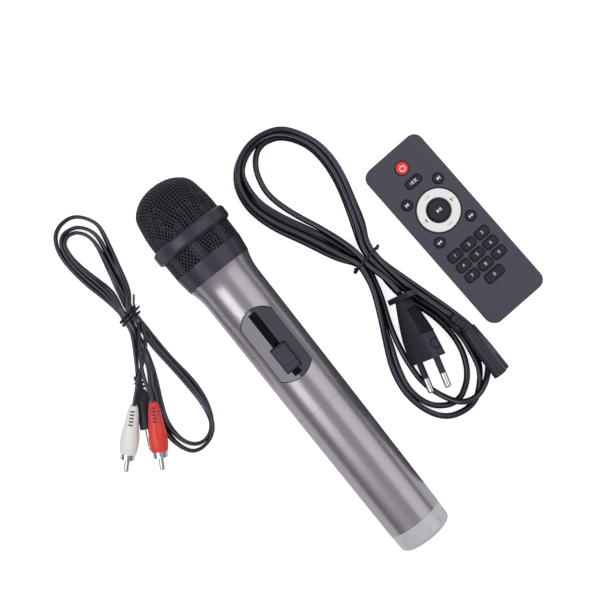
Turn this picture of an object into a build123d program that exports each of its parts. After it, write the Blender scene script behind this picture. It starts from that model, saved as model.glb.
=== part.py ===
from build123d import *
import math
import os

os.makedirs("parts", exist_ok=True)

# A karaoke accessory set laid out flat: a cordless hand microphone, a slim remote control,
# a stereo audio lead and a two-pin mains lead.
# +Z is up, +Y runs along the microphone from tail to head, and the set rests on z = 0.

# ---- layout of the set (mm, degrees)
set_width = 173.6
remote_turn = 3.0
remote_shift = 1.3

# ---- fits
fit_gap = 0.05
seam_gap = 0.1
key_gap = 0.25

# ---- microphone, measured from its tail
mic_length = 257.5
cap_length = 12.4
sleeve_length = 86.5
housing_length = 96.5
collar_length = 10.7
skirt_length = 11.3
ring_length = 8.1
sleeve_tail_radius = 17.4
seam_radius = 18.15
housing_radius = 18.6
shoulder_radius = 21.0
collar_radius = 22.6
dome_radius = 22.8
ring_radius = 25.0
ring_shoulder = 1.6
sleeve_bore = 15.6
sleeve_overlap = 14.0
wall = 1.3
mesh_thickness = 1.0
foam_thickness = 2.6
head_neck_radius = 18.9
head_neck_length = 8.5

# ---- switch panel, knob and slide switch on the microphone
panel_start = 119.4
panel_length = 48.1
panel_width = 22.0
panel_head_bulge = 6.6
panel_tail_bulge = 4.4
panel_thickness = 1.2
panel_inset = 0.55
track_width = 5.0
track_length = 43.5
track_depth = 0.7
knob_start = 125.8
knob_length = 15.8
knob_width = 9.0
knob_rise = 2.6
switch_travel = 8.0
stem_width = 2.0
stem_length = 4.0

# ---- batteries, cradle, board, capsule and antenna
cell_length = 49.5
cell_radius = 7.1
nub_length = 1.0
nub_radius = 2.75
cradle_radius = 14.9
cradle_start = 22.0
cradle_wall = 3.0
cradle_plug = 11.0
spring_length = 5.0
contact_thickness = 0.5
contact_radius = 5.5
board_thickness = 1.6
board_height = 1.0
capsule_radius = 12.5
capsule_length = 24.0
antenna_radius = 2.6
cap_bore = 13.3
cap_floor = 3.0
groove_count = 12

# ---- remote control
remote_length = 119.0
remote_width = 42.0
remote_thickness = 8.0
remote_corner = 6.0
remote_wall = 1.4
remote_floor = 1.2
parting_height = 4.0
plate_thickness = 1.4
post_height = 1.4
remote_board_thickness = 1.0
membrane_thickness = 0.8
key_rise = 0.8
key_travel = 0.8
key_flange = 0.6
key_flange_thickness = 0.9
ring_flange_drop = 0.7
coin_radius = 10.0
coin_thickness = 2.5
tray_width = 24.0
tray_floor = 0.5
tray_grip = 6.6
led_radius = 1.5

# ---- leads
mains_cord_width = 5.6
pair_cord_width = 4.4
single_cord_width = 2.2

# ---- frames that the pieces are placed by
ring_start = cap_length + sleeve_length + housing_length + collar_length + skirt_length
ring_flat_start = ring_start + ring_shoulder
mic_tilt = math.atan((ring_radius - sleeve_tail_radius) / (ring_flat_start - cap_length))
mic_tail = Vector(
    -(set_width / 2 - ring_radius),
    -mic_length * math.cos(mic_tilt) / 2,
    sleeve_tail_radius * math.cos(mic_tilt) - cap_length * math.sin(mic_tilt),
)
mic = Plane(mic_tail, x_dir=(-1, 0, 0), z_dir=(0, math.cos(mic_tilt), math.sin(mic_tilt)))
mic_axis = Axis(mic.origin, mic.z_dir)
mic_section = Plane(mic.origin, x_dir=mic.x_dir, z_dir=-mic.y_dir)
mic_side = Plane(mic.origin, x_dir=mic.z_dir, z_dir=-mic.x_dir)

turn = math.radians(remote_turn)
remote_half_span = (
    (remote_width / 2 - remote_corner) * math.cos(turn)
    + (remote_length / 2 - remote_corner) * math.sin(turn)
    + remote_corner
)
remote = Plane(
    (set_width / 2 - remote_half_span, remote_shift, 0),
    x_dir=(math.cos(turn), math.sin(turn), 0),
    z_dir=(0, 0, 1),
)


def keep(name, part):
    """Label a finished piece and write it."""
    part.label = name
    export_step(part, f"parts/{name}.step")


def turned_face(*points):
    """A closed outline of (radius, station) points in the half plane beside the microphone's axis."""
    with BuildSketch(mic_section) as outline:
        with BuildLine():
            Polyline(*points, close=True)
        make_face()
    return outline.sketch


def above(station, height):
    """A plane across the microphone's radius, seen from its switch side with the head at the top."""
    return Plane(
        mic.origin + mic.z_dir * station + mic.y_dir * height, x_dir=-mic.x_dir, z_dir=mic.y_dir
    )


# ================================================================ microphone: tail and sleeve
sleeve_start = cap_length + seam_gap
seam = cap_length + sleeve_length
spigot_end = cap_length + 6.0

with BuildPart() as tail_cap:
    with BuildSketch(mic_section):
        with BuildLine():
            Polyline((0, cap_floor), (0, 0), (14.2, 0))
            ThreePointArc((14.2, 0), (16.1, 0.9), (17.0, 2.8))
            Polyline(
                (17.0, 2.8),
                (sleeve_tail_radius - fit_gap, cap_length),
                (sleeve_bore - fit_gap, cap_length),
                (sleeve_bore - fit_gap, spigot_end),
                (cap_bore, spigot_end),
                (cap_bore, cap_floor),
                (0, cap_floor),
            )
        make_face()
    revolve(axis=mic_axis)
    with BuildSketch(mic):
        with PolarLocations(sleeve_tail_radius, groove_count, start_angle=12):
            Rectangle(1.1, 0.8)
    extrude(amount=cap_length * 0.63, mode=Mode.SUBTRACT)
keep("tail_cap", tail_cap.part)

with BuildPart() as lower_sleeve:
    revolve(
        turned_face(
            (sleeve_bore, sleeve_start),
            (sleeve_tail_radius, sleeve_start),
            (seam_radius, seam),
            (sleeve_bore, seam),
        ),
        axis=mic_axis,
    )
keep("lower_sleeve", lower_sleeve.part)

with BuildPart() as antenna:
    with BuildSketch(mic.offset(cap_floor + 2.0)):
        Circle(antenna_radius)
    extrude(amount=cradle_start - cap_floor - 2.0)
    chamfer(antenna.faces().sort_by(mic_axis)[0].edges(), 0.6)
keep("antenna", antenna.part)

# ================================================================ microphone: upper housing
housing_start = seam + seam_gap
neck_start = housing_start - sleeve_overlap
neck_radius = sleeve_bore - seam_gap
neck_bore = neck_radius - 1.2
head_start = seam + housing_length
head_neck_end = head_start + head_neck_length
head_neck_bore = head_neck_radius - 1.9
flare_start = head_start - 12.0
flare_middle = (19.35, head_start - 5.5)
pocket_radius = housing_radius - panel_inset - panel_thickness
panel_radius = pocket_radius + panel_thickness - fit_gap
knob_middle = knob_start + knob_length / 2
slot_middle = knob_middle + switch_travel / 2
slot_length = stem_length + switch_travel + 0.8
panel_middle = panel_start + panel_length / 2


def panel_outline(margin):
    """Panel outline seen from above: two straight sides between two arched ends."""
    side = panel_width / 2 + margin
    end = panel_length / 2 + margin
    with BuildSketch(above(panel_middle, 0)) as outline:
        with BuildLine():
            ThreePointArc((-side, end - panel_head_bulge), (0, end), (side, end - panel_head_bulge))
            Line((side, end - panel_head_bulge), (side, panel_tail_bulge - end))
            ThreePointArc((side, panel_tail_bulge - end), (0, -end), (-side, panel_tail_bulge - end))
            Line((-side, panel_tail_bulge - end), (-side, end - panel_head_bulge))
        make_face()
    return outline.sketch


with BuildPart() as panel_pocket:
    extrude(panel_outline(seam_gap), amount=housing_radius + 4)
    revolve(
        turned_face((0, panel_start - 9), (pocket_radius, panel_start - 9),
                    (pocket_radius, head_start), (0, head_start)),
        axis=mic_axis,
        mode=Mode.SUBTRACT,
    )

with BuildPart() as upper_housing:
    with BuildSketch(mic_section):
        with BuildLine():
            Polyline(
                (neck_bore, neck_start),
                (neck_radius, neck_start),
                (neck_radius, housing_start),
                (seam_radius, housing_start),
                (housing_radius, flare_start),
            )
            ThreePointArc((housing_radius, flare_start), flare_middle, (shoulder_radius, head_start))
            Polyline(
                (shoulder_radius, head_start),
                (head_neck_radius, head_start),
                (head_neck_radius, head_neck_end),
                (head_neck_bore, head_neck_end),
                (head_neck_bore, head_start + 1),
                (sleeve_bore, head_start - 4),
                (sleeve_bore, housing_start + 1.5),
                (neck_bore, housing_start),
                (neck_bore, neck_start),
            )
        make_face()
    revolve(axis=mic_axis)
    add(panel_pocket.part, mode=Mode.SUBTRACT)
    with BuildSketch(above(slot_middle, housing_radius / 2)):
        SlotOverall(slot_length, stem_width + 0.6, rotation=90)
    extrude(amount=housing_radius, mode=Mode.SUBTRACT)
keep("upper_housing", upper_housing.part)

with BuildPart() as switch_panel:
    extrude(panel_outline(0), amount=housing_radius + 4)
    revolve(
        turned_face(
            (pocket_radius + fit_gap, panel_start - 9),
            (panel_radius, panel_start - 9),
            (panel_radius, head_start),
            (pocket_radius + fit_gap, head_start),
        ),
        axis=mic_axis,
        mode=Mode.INTERSECT,
    )
    with BuildSketch(above(panel_middle, panel_radius - track_depth)):
        RectangleRounded(track_width, track_length, 0.8)
    extrude(amount=panel_thickness, mode=Mode.SUBTRACT)
    with BuildSketch(above(slot_middle, housing_radius / 2)):
        SlotOverall(slot_length, stem_width + 0.6, rotation=90)
    extrude(amount=housing_radius, mode=Mode.SUBTRACT)
keep("switch_panel", switch_panel.part)

# The slide switch stands on the board, and the knob's stem reaches down into it.
board_top = board_height + board_thickness
switch_top = board_top + 6.0
stem_foot = board_top + 3.0
knob_foot = panel_radius + fit_gap
knob_top = panel_radius + knob_rise

with BuildPart() as switch_knob:
    with BuildSketch(mic_side.offset(-knob_width / 2)):
        with BuildLine():
            Polyline(
                (knob_start, panel_radius - 3),
                (knob_start, knob_top - 0.9),
                (knob_start + 0.7, knob_top - 0.3),
                (knob_start + 3.7, knob_top),
                (knob_start + 4.3, knob_top - 0.6),
                (knob_start + 9.5, knob_top - 1.0),
                (knob_start + knob_length - 0.7, knob_top - 0.5),
                (knob_start + knob_length, knob_top - 1.1),
                (knob_start + knob_length, panel_radius - 3),
                close=True,
            )
        make_face()
    extrude(amount=knob_width)
    fillet(switch_knob.edges().filter_by(Axis(mic.origin, mic.y_dir)), 1.2)
    revolve(
        turned_face((0, knob_start - 2), (knob_foot, knob_start - 2),
                    (knob_foot, knob_start + knob_length + 2), (0, knob_start + knob_length + 2)),
        axis=mic_axis,
        mode=Mode.SUBTRACT,
    )
    with BuildSketch(above(knob_middle, stem_foot)):
        Rectangle(stem_width, stem_length)
    extrude(amount=knob_foot + 0.5 - stem_foot)
keep("switch_knob", switch_knob.part)

board_half_width = math.sqrt(sleeve_bore**2 - board_top**2) - seam_gap
board_start = housing_start + 4.0
board_end = head_start - 8.0

with BuildPart() as mic_circuit_board:
    with BuildSketch(above((board_start + board_end) / 2, board_height)):
        RectangleRounded(2 * board_half_width, board_end - board_start, 1.0)
    extrude(amount=board_thickness)
    with BuildSketch(above(board_end - 16, board_top)):
        Rectangle(14, 18)
    extrude(amount=2.4)
    with BuildSketch(above(board_start + 11, board_top)):
        with GridLocations(8, 9, 2, 2):
            Rectangle(4, 5)
    extrude(amount=1.2)
keep("mic_circuit_board", mic_circuit_board.part)

with BuildPart() as slide_switch:
    with BuildSketch(above(slot_middle, board_top)):
        Rectangle(7.0, slot_length + 5)
    extrude(amount=switch_top - board_top)
    with BuildSketch(above(slot_middle, stem_foot - 0.3)):
        Rectangle(stem_width + 0.3, slot_length)
    extrude(amount=switch_top, mode=Mode.SUBTRACT)
keep("slide_switch", slide_switch.part)

# ================================================================ microphone: batteries
cradle_end = neck_start - 1.0
bay_start = cradle_start + cradle_wall
cell_start = bay_start + contact_thickness + spring_length
cells_end = cell_start + cell_length + nub_length
bay_end = cells_end + fit_gap + contact_thickness
cell_pitch = cell_radius + fit_gap
trough_radius = cell_radius + seam_gap + fit_gap

with BuildPart() as battery_cradle:
    with BuildSketch(mic.offset(cradle_start)):
        Circle(cradle_radius)
    extrude(amount=cradle_end - cradle_start)
    with BuildSketch(mic.offset(cradle_end)):
        Circle(neck_bore - seam_gap)
    extrude(amount=neck_start + cradle_plug - cradle_end)
    with BuildSketch(mic.offset(bay_start)):
        with Locations((0, cradle_radius / 2)):
            Rectangle(2 * cradle_radius + 1, cradle_radius)
        with Locations((-cell_pitch, 0), (cell_pitch, 0)):
            Circle(trough_radius)
    extrude(amount=bay_end - bay_start, mode=Mode.SUBTRACT)
keep("battery_cradle", battery_cradle.part)

with BuildPart() as batteries:
    for side in (-1, 1):
        with BuildSketch(mic.offset(cell_start if side < 0 else cell_start + nub_length)):
            with Locations((side * cell_pitch, 0)):
                Circle(cell_radius)
        extrude(amount=cell_length)
        with BuildSketch(mic.offset(cell_start + cell_length if side < 0 else cell_start)):
            with Locations((side * cell_pitch, 0)):
                Circle(nub_radius)
        extrude(amount=nub_length)
keep("batteries", batteries.part)

with BuildPart() as battery_contacts:
    with BuildSketch(mic.offset(bay_start)):
        with Locations((0, 1.8)):
            Rectangle(2 * cell_pitch, 3.0)
        with Locations((-cell_pitch, 0), (cell_pitch, 0)):
            Circle(contact_radius)
    extrude(amount=contact_thickness)
    with BuildSketch(mic.offset(bay_start + contact_thickness)):
        with Locations((-cell_pitch, 0), (cell_pitch, 0)):
            Circle(3.0)
            Circle(2.3, mode=Mode.SUBTRACT)
    extrude(amount=spring_length - fit_gap)
    with BuildSketch(mic.offset(cells_end + fit_gap)):
        with Locations((-cell_pitch, 0), (cell_pitch, 0)):
            Circle(contact_radius)
    extrude(amount=bay_end - cells_end - fit_gap)
keep("battery_contacts", battery_contacts.part)

# ================================================================ microphone: head
collar_start = head_start + seam_gap
skirt_start = head_start + collar_length
ring_end = ring_start + ring_length
dome_base = ring_start + ring_length / 2
dome_height = mic_length - dome_base
mount_floor = head_start + 3.0
capsule_start = mount_floor + 2.0
mount_top = skirt_start - 0.6

with BuildPart() as capsule_mount:
    revolve(
        turned_face(
            (4.0, mount_floor),
            (head_neck_bore - seam_gap, mount_floor),
            (head_neck_bore - seam_gap, head_neck_end + fit_gap),
            (head_neck_radius - 0.5, head_neck_end + fit_gap),
            (head_neck_radius - 0.5, mount_top),
            (capsule_radius + seam_gap, mount_top),
            (capsule_radius + seam_gap, capsule_start - fit_gap),
            (4.0, capsule_start - fit_gap),
        ),
        axis=mic_axis,
    )
keep("capsule_mount", capsule_mount.part)

with BuildPart() as capsule:
    with BuildSketch(mic.offset(capsule_start)):
        Circle(capsule_radius)
    extrude(amount=capsule_length)
    capsule_face = capsule.faces().sort_by(mic_axis)[-1]
    fillet(capsule_face.edges(), 2.0)
    with BuildSketch(mic.offset(capsule_start + capsule_length)):
        with PolarLocations(6.0, 6):
            Circle(1.2)
    extrude(amount=-1.0, mode=Mode.SUBTRACT)
keep("capsule", capsule.part)

with BuildPart() as grille_collar:
    revolve(
        turned_face(
            (head_neck_radius + seam_gap, collar_start),
            (shoulder_radius + 0.2, collar_start),
            (collar_radius, skirt_start),
            (head_neck_radius + seam_gap, skirt_start),
        ),
        axis=mic_axis,
    )
keep("grille_collar", grille_collar.part)

skirt_top_radius = dome_radius - fit_gap
with BuildPart() as grille_skirt:
    revolve(
        turned_face(
            (collar_radius - 0.1 - mesh_thickness, skirt_start),
            (collar_radius - 0.1, skirt_start),
            (skirt_top_radius, dome_base - seam_gap),
            (skirt_top_radius - mesh_thickness, dome_base - seam_gap),
        ),
        axis=mic_axis,
    )
keep("grille_skirt", grille_skirt.part)

with BuildPart() as grille_ring:
    with BuildSketch(mic_section):
        with BuildLine():
            Polyline(
                (ring_radius - 1.2, ring_end),
                (dome_radius + fit_gap, ring_end),
                (dome_radius + fit_gap, ring_start),
                (ring_radius - 1.2, ring_start),
            )
            ThreePointArc(
                (ring_radius - 1.2, ring_start),
                (ring_radius - 0.3, ring_start + 0.5 * ring_shoulder),
                (ring_radius, ring_flat_start),
            )
            Line((ring_radius, ring_flat_start), (ring_radius, ring_end - ring_shoulder))
            ThreePointArc(
                (ring_radius, ring_end - ring_shoulder),
                (ring_radius - 0.3, ring_end - 0.5 * ring_shoulder),
                (ring_radius - 1.2, ring_end),
            )
        make_face()
    revolve(axis=mic_axis)
keep("grille_ring", grille_ring.part)


def dome_face(inset):
    """Half section of the rounded head, drawn smaller by inset on every side."""
    share = 1 - inset / dome_radius
    with BuildSketch(mic_section) as outline:
        with BuildLine():
            crown = (0, dome_base + dome_height * share)
            foot = (dome_radius * share, dome_base)
            Spline(
                foot,
                (0.956 * foot[0], dome_base + 0.50 * dome_height * share),
                (0.838 * foot[0], dome_base + 0.772 * dome_height * share),
                (0.60 * foot[0], dome_base + 0.905 * dome_height * share),
                crown,
                tangents=((0, 1), (-1, 0)),
            )
            Polyline(crown, (0, dome_base), foot)
        make_face()
    return outline.sketch


with BuildPart() as grille_dome:
    revolve(dome_face(0), axis=mic_axis)
    revolve(dome_face(mesh_thickness), axis=mic_axis, mode=Mode.SUBTRACT)
keep("grille_dome", grille_dome.part)

foam_radius = collar_radius - 0.1 - mesh_thickness - seam_gap
with BuildPart() as foam_liner:
    revolve(dome_face(mesh_thickness + seam_gap), axis=mic_axis)
    with BuildSketch(mic.offset(skirt_start + seam_gap)):
        Circle(foam_radius)
    extrude(amount=dome_base - skirt_start - seam_gap)
    revolve(dome_face(mesh_thickness + seam_gap + foam_thickness), axis=mic_axis, mode=Mode.SUBTRACT)
    with BuildSketch(mic.offset(skirt_start)):
        Circle(foam_radius - foam_thickness)
    extrude(amount=dome_base - skirt_start, mode=Mode.SUBTRACT)
keep("foam_liner", foam_liner.part)

# ================================================================ remote control: shells and inside
plate_under = remote_thickness - plate_thickness
board_floor = remote_floor + post_height
membrane_floor = board_floor + remote_board_thickness
membrane_top = membrane_floor + membrane_thickness
flange_top = plate_under - seam_gap
flange_foot = flange_top - key_flange_thickness
key_top = remote_thickness + key_rise
inner_half_length = remote_length / 2 - remote_wall
inner_half_width = remote_width / 2 - remote_wall
coin_middle = -(inner_half_length - coin_radius + tray_floor)
tray_top = remote_floor + 3.3
tray_inner_end = coin_middle + tray_grip
board_head_end = inner_half_length - 3.1
board_tail_end = coin_middle + coin_radius + 1.0

power_place = (0, 47.5)
power_radius = 3.85
mute_place = (0, 37.0)
mute_size = (10.0, 4.7)
ring_place = (0, 14.4)
ring_key_radius = 13.0
ring_key_bore = 7.7
play_radius = 6.1
corner_radius = 3.0
corner_across = 12.2
corner_rows = (28.9, -0.5)
digit_size = (8.5, 5.3)
digit_across = 10.5
digit_row = -12.4
digit_pitch = 7.7
zero_place = (0, -35.8)
zero_size = (12.0, 5.5)
key_corner = 1.6

corner_keys = {
    "left_upper_key": (-corner_across, corner_rows[0]),
    "right_upper_key": (corner_across, corner_rows[0]),
    "left_lower_key": (-corner_across, corner_rows[1]),
    "right_lower_key": (corner_across, corner_rows[1]),
}
digit_keys = {
    f"digit_{3 * row + column + 1}_key": ((column - 1) * digit_across, digit_row - row * digit_pitch)
    for row in range(3)
    for column in range(3)
}

with BuildPart() as led_hole:
    with BuildSketch(
        Plane(remote.from_local_coords((0, inner_half_length - 3, parting_height)),
              x_dir=remote.x_dir, z_dir=remote.y_dir)
    ):
        Circle(led_radius + seam_gap)
    extrude(amount=8)

with BuildPart() as tray_slot:
    with BuildSketch(remote.offset(remote_floor)):
        with Locations((0, -remote_length / 2)):
            Rectangle(tray_width + 2 * seam_gap, 4 * remote_wall)
    extrude(amount=tray_top + seam_gap - remote_floor)

with BuildPart() as remote_bottom_shell:
    with BuildSketch(remote):
        RectangleRounded(remote_width, remote_length, remote_corner)
    extrude(amount=parting_height)
    fillet(remote_bottom_shell.faces().sort_by(Axis.Z)[0].edges(), 1.1)
    with BuildSketch(remote.offset(remote_floor)):
        RectangleRounded(2 * inner_half_width, 2 * inner_half_length, remote_corner - remote_wall)
    extrude(amount=parting_height, mode=Mode.SUBTRACT)
    with BuildSketch(remote.offset(remote_floor)):
        with Locations((0, (board_head_end + board_tail_end) / 2)):
            with GridLocations(30, board_head_end - board_tail_end - 8, 2, 2):
                Circle(1.6)
    extrude(amount=post_height)
    with BuildSketch(remote.offset(remote_floor)):
        with Locations((0, (tray_inner_end - inner_half_length) / 2)):
            with GridLocations(tray_width + 2 * seam_gap + 1.0, 0, 2, 1):
                Rectangle(1.0, inner_half_length + tray_inner_end)
    extrude(amount=parting_height - remote_floor)
    add(led_hole.part, mode=Mode.SUBTRACT)
    add(tray_slot.part, mode=Mode.SUBTRACT)
keep("remote_bottom_shell", remote_bottom_shell.part)

with BuildPart() as remote_top_shell:
    with BuildSketch(remote.offset(parting_height)):
        RectangleRounded(remote_width, remote_length, remote_corner)
    extrude(amount=remote_thickness - parting_height)
    fillet(remote_top_shell.faces().sort_by(Axis.Z)[-1].edges(), 0.8)
    with BuildSketch(remote.offset(parting_height)):
        RectangleRounded(2 * inner_half_width, 2 * inner_half_length, remote_corner - remote_wall)
    extrude(amount=plate_under - parting_height, mode=Mode.SUBTRACT)
    with BuildSketch(remote.offset(parting_height)):
        with Locations(power_place):
            Circle(power_radius + key_gap)
        with Locations(ring_place):
            Circle(ring_key_radius + key_gap)
        with Locations(*corner_keys.values()):
            Circle(corner_radius + key_gap)
        with Locations(mute_place):
            RectangleRounded(mute_size[0] + 2 * key_gap, mute_size[1] + 2 * key_gap, key_corner + key_gap)
        with Locations(zero_place):
            RectangleRounded(zero_size[0] + 2 * key_gap, zero_size[1] + 2 * key_gap, key_corner + key_gap)
        with Locations(*digit_keys.values()):
            RectangleRounded(digit_size[0] + 2 * key_gap, digit_size[1] + 2 * key_gap, key_corner + key_gap)
    extrude(amount=remote_thickness, mode=Mode.SUBTRACT)
    add(led_hole.part, mode=Mode.SUBTRACT)
    add(tray_slot.part, mode=Mode.SUBTRACT)
keep("remote_top_shell", remote_top_shell.part)

with BuildPart() as remote_circuit_board:
    with BuildSketch(remote.offset(board_floor)):
        with Locations((0, (board_head_end + board_tail_end) / 2)):
            Rectangle(2 * (inner_half_width - 0.3), board_head_end - board_tail_end)
    extrude(amount=remote_board_thickness)
    edges = remote_circuit_board.edges().filter_by(Axis.Z).sort_by(Axis(remote.origin, remote.y_dir))
    fillet(edges[-2:], remote_corner - remote_wall)
keep("remote_circuit_board", remote_circuit_board.part)

with BuildPart() as key_membrane:
    with BuildSketch(remote.offset(membrane_floor)):
        with Locations((0, (board_head_end + board_tail_end) / 2)):
            RectangleRounded(2 * inner_half_width - 2.4, board_head_end - board_tail_end - 1, 3.0)
    extrude(amount=membrane_thickness)
keep("key_membrane", key_membrane.part)

with BuildPart() as infrared_led:
    led_plane = Plane(
        remote.from_local_coords((0, board_head_end + 0.6, parting_height)),
        x_dir=remote.x_dir, z_dir=remote.y_dir,
    )
    with BuildSketch(led_plane):
        Circle(led_radius)
    extrude(amount=remote_length / 2 - board_head_end - 0.3)
    fillet(infrared_led.faces().sort_by(Axis(remote.origin, remote.y_dir))[-1].edges(), led_radius - 0.1)
    with BuildSketch(led_plane.offset(-0.6)):
        leg_height = membrane_floor - parting_height - 0.5
        with Locations((-0.9, leg_height), (0.9, leg_height)):
            Rectangle(0.5, 0.5)
    extrude(amount=1.0)
keep("infrared_led", infrared_led.part)

with BuildPart() as cell_tray:
    with BuildSketch(remote.offset(remote_floor + fit_gap)):
        with Locations((0, (tray_inner_end - remote_length / 2) / 2)):
            Rectangle(tray_width, remote_length / 2 + tray_inner_end)
    extrude(amount=tray_top - remote_floor - fit_gap)
    with BuildSketch(remote.offset(remote_floor + fit_gap + tray_floor)):
        with Locations((0, coin_middle)):
            Circle(coin_radius + seam_gap)
    extrude(amount=tray_top, mode=Mode.SUBTRACT)
keep("cell_tray", cell_tray.part)

with BuildPart() as button_cell:
    with BuildSketch(remote.offset(remote_floor + 2 * fit_gap + tray_floor)):
        with Locations((0, coin_middle)):
            Circle(coin_radius)
    extrude(amount=coin_thickness)
    chamfer(button_cell.faces().sort_by(Axis.Z)[-1].edges(), 0.3)
keep("button_cell", button_cell.part)


# ================================================================ remote control: keys
def round_key(name, place, radius):
    """A round key: cap through the plate, flange under it and a plunger over the membrane."""
    with BuildPart() as key:
        with BuildSketch(remote.offset(flange_foot)):
            with Locations(place):
                Circle(radius + key_flange)
        extrude(amount=key_flange_thickness)
        with BuildSketch(remote.offset(flange_top)):
            with Locations(place):
                Circle(radius)
        extrude(amount=key_top - flange_top)
        fillet(key.faces().sort_by(Axis.Z)[-1].edges(), 0.45)
        with BuildSketch(remote.offset(membrane_top + key_travel + fit_gap)):
            with Locations(place):
                Circle(1.2)
        extrude(amount=flange_foot - membrane_top - key_travel - fit_gap)
    keep(name, key.part)


def long_key(name, place, size):
    """A rounded rectangular key built like the round ones."""
    with BuildPart() as key:
        with BuildSketch(remote.offset(flange_foot)):
            with Locations(place):
                RectangleRounded(size[0] + 2 * key_flange, size[1] + 2 * key_flange, key_corner + key_flange)
        extrude(amount=key_flange_thickness)
        with BuildSketch(remote.offset(flange_top)):
            with Locations(place):
                RectangleRounded(size[0], size[1], key_corner)
        extrude(amount=key_top - flange_top)
        fillet(key.faces().sort_by(Axis.Z)[-1].edges(), 0.45)
        with BuildSketch(remote.offset(membrane_top + key_travel + fit_gap)):
            with Locations(place):
                Circle(1.2)
        extrude(amount=flange_foot - membrane_top - key_travel - fit_gap)
    keep(name, key.part)


round_key("power_key", power_place, power_radius)
long_key("mute_key", mute_place, mute_size)
for name, place in corner_keys.items():
    round_key(name, place, corner_radius)
for name, place in digit_keys.items():
    long_key(name, place, digit_size)
long_key("digit_0_key", zero_place, zero_size)
round_key("play_key", ring_place, play_radius)

# The ring key rocks on the membrane, so its flange hangs lower than the others.
with BuildPart() as ring_key:
    with BuildSketch(remote.offset(flange_top - ring_flange_drop - 0.6)):
        with Locations(ring_place):
            Circle(ring_key_radius + 1.0)
            Circle(ring_key_bore, mode=Mode.SUBTRACT)
    extrude(amount=0.6)
    with BuildSketch(remote.offset(flange_top - ring_flange_drop)):
        with Locations(ring_place):
            Circle(ring_key_radius)
            Circle(ring_key_bore, mode=Mode.SUBTRACT)
    extrude(amount=key_top - flange_top + ring_flange_drop)
    fillet(ring_key.faces().sort_by(Axis.Z)[-1].edges(), 0.4)
keep("ring_key", ring_key.part)


# ================================================================ leads: shared work
def corner_radii(points):
    """Radius at each corner of a route: as large as its two runs allow."""
    corners = [Vector(*point) for point in points]
    radii = []
    for before, here, after in zip(corners, corners[1:], corners[2:]):
        half_turn = math.radians((here - before).get_angle(after - here)) / 2
        shorter = min((here - before).length, (after - here).length)
        radii.append(0.45 * shorter / math.tan(half_turn))
    return radii


def cord_tube(name, points, width):
    """A cord along its route, as a plain round tube."""
    radii = corner_radii(points)
    with BuildPart() as tube:
        with BuildLine() as route:
            FilletPolyline(*points, radius=radii)
        with BuildSketch(Plane(points[0], z_dir=Vector(*points[1]) - Vector(*points[0]))):
            Circle(width / 2)
        sweep(path=route.wire())
    expected = math.pi * width**2 / 4 * route.wire().length
    print(f"{name}: radii {[round(r) for r in radii]}, volume {tube.part.volume / expected:.4f} of expected")
    keep(name, tube.part)


def lobe_face(left, right, height):
    """A face bounded by two smooth sides that share both their ends."""
    with BuildSketch(Plane.XY.offset(height)) as face:
        with BuildLine():
            Spline(*left)
            Spline(*right)
        make_face()
    return face.sketch


def plug_frame(rear, tip, across):
    """A plane at a plug's rear, looking along the plug, with its x direction nearest to across."""
    ahead = (Vector(*tip) - Vector(*rear)).normalized()
    sideways = Vector(*across) - ahead * ahead.dot(Vector(*across))
    return Plane(rear, x_dir=sideways, z_dir=ahead)


# ================================================================ mains lead
mains_upper_height = 10.0
mains_lower_height = 5.0
mains_neck_floor = 1.3
mains_neck_top = 12.4
mains_neck = (11.2, 20.0)
mains_neck_size = (18.0, 16.0)
mains_exit_y = mains_neck[1] - mains_neck_size[1] / 2

mains_upper_outside = lobe_face(
    [(2.6, 13), (-4.5, 30.3), (-15.5, 49.5), (-24.6, 72), (-26.3, 94), (-16, 112.5), (1, 118.8)],
    [(2.6, 13), (20.0, 13), (22.6, 30), (28.3, 50.8), (34.0, 78), (31, 97), (19.9, 113.3), (1, 118.8)],
    0,
)
mains_upper_hole = lobe_face(
    [(10, 29), (2.7, 50.5), (-6.2, 70.2), (-10, 87), (-4.5, 103.6), (8, 108.6)],
    [(10, 29), (17.5, 46), (23.7, 64.9), (25.4, 86), (19.5, 102.5), (8, 108.6)],
    0,
)
mains_lower_outside = lobe_face(
    [(2.6, 24), (0.4, 6.3), (-4.1, -9), (-11.8, -24.7), (-19.8, -42.1), (-22.6, -57), (-19.5, -74),
     (-8, -87.0), (6, -90)],
    [(2.6, 24), (20.0, 24), (20.6, 2.9), (28.6, -16.8), (34.6, -34.1), (37.8, -52), (34.5, -71),
     (22, -84.5), (6, -90)],
    0,
)
mains_lower_hole = lobe_face(
    [(10.5, 8), (4.0, -10.5), (-2.6, -27), (-8.4, -43), (-8.8, -57), (-3.5, -71.5), (4.5, -77.5)],
    [(10.5, 8), (14.5, -5), (18.4, -20.7), (22.0, -37), (22.4, -52.4), (16.5, -69), (4.5, -77.5)],
    0,
)

with BuildPart() as mains_cable_hank:
    extrude(mains_upper_outside, amount=mains_upper_height)
    extrude(mains_lower_outside, amount=mains_lower_height)
    extrude(mains_upper_hole, amount=mains_upper_height, mode=Mode.SUBTRACT)
    extrude(mains_lower_hole, amount=mains_lower_height, mode=Mode.SUBTRACT)
    with BuildSketch(Plane.XY):
        with Locations(mains_neck):
            Rectangle(2 * mains_neck_size[0], mains_neck_size[1])
    extrude(amount=mains_neck_top, mode=Mode.SUBTRACT)
    with BuildSketch(Plane.XY.offset(mains_neck_floor)):
        with Locations(mains_neck):
            Rectangle(*mains_neck_size)
    extrude(amount=mains_neck_top - mains_neck_floor)
keep("mains_cable_hank", mains_cable_hank.part)

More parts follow.
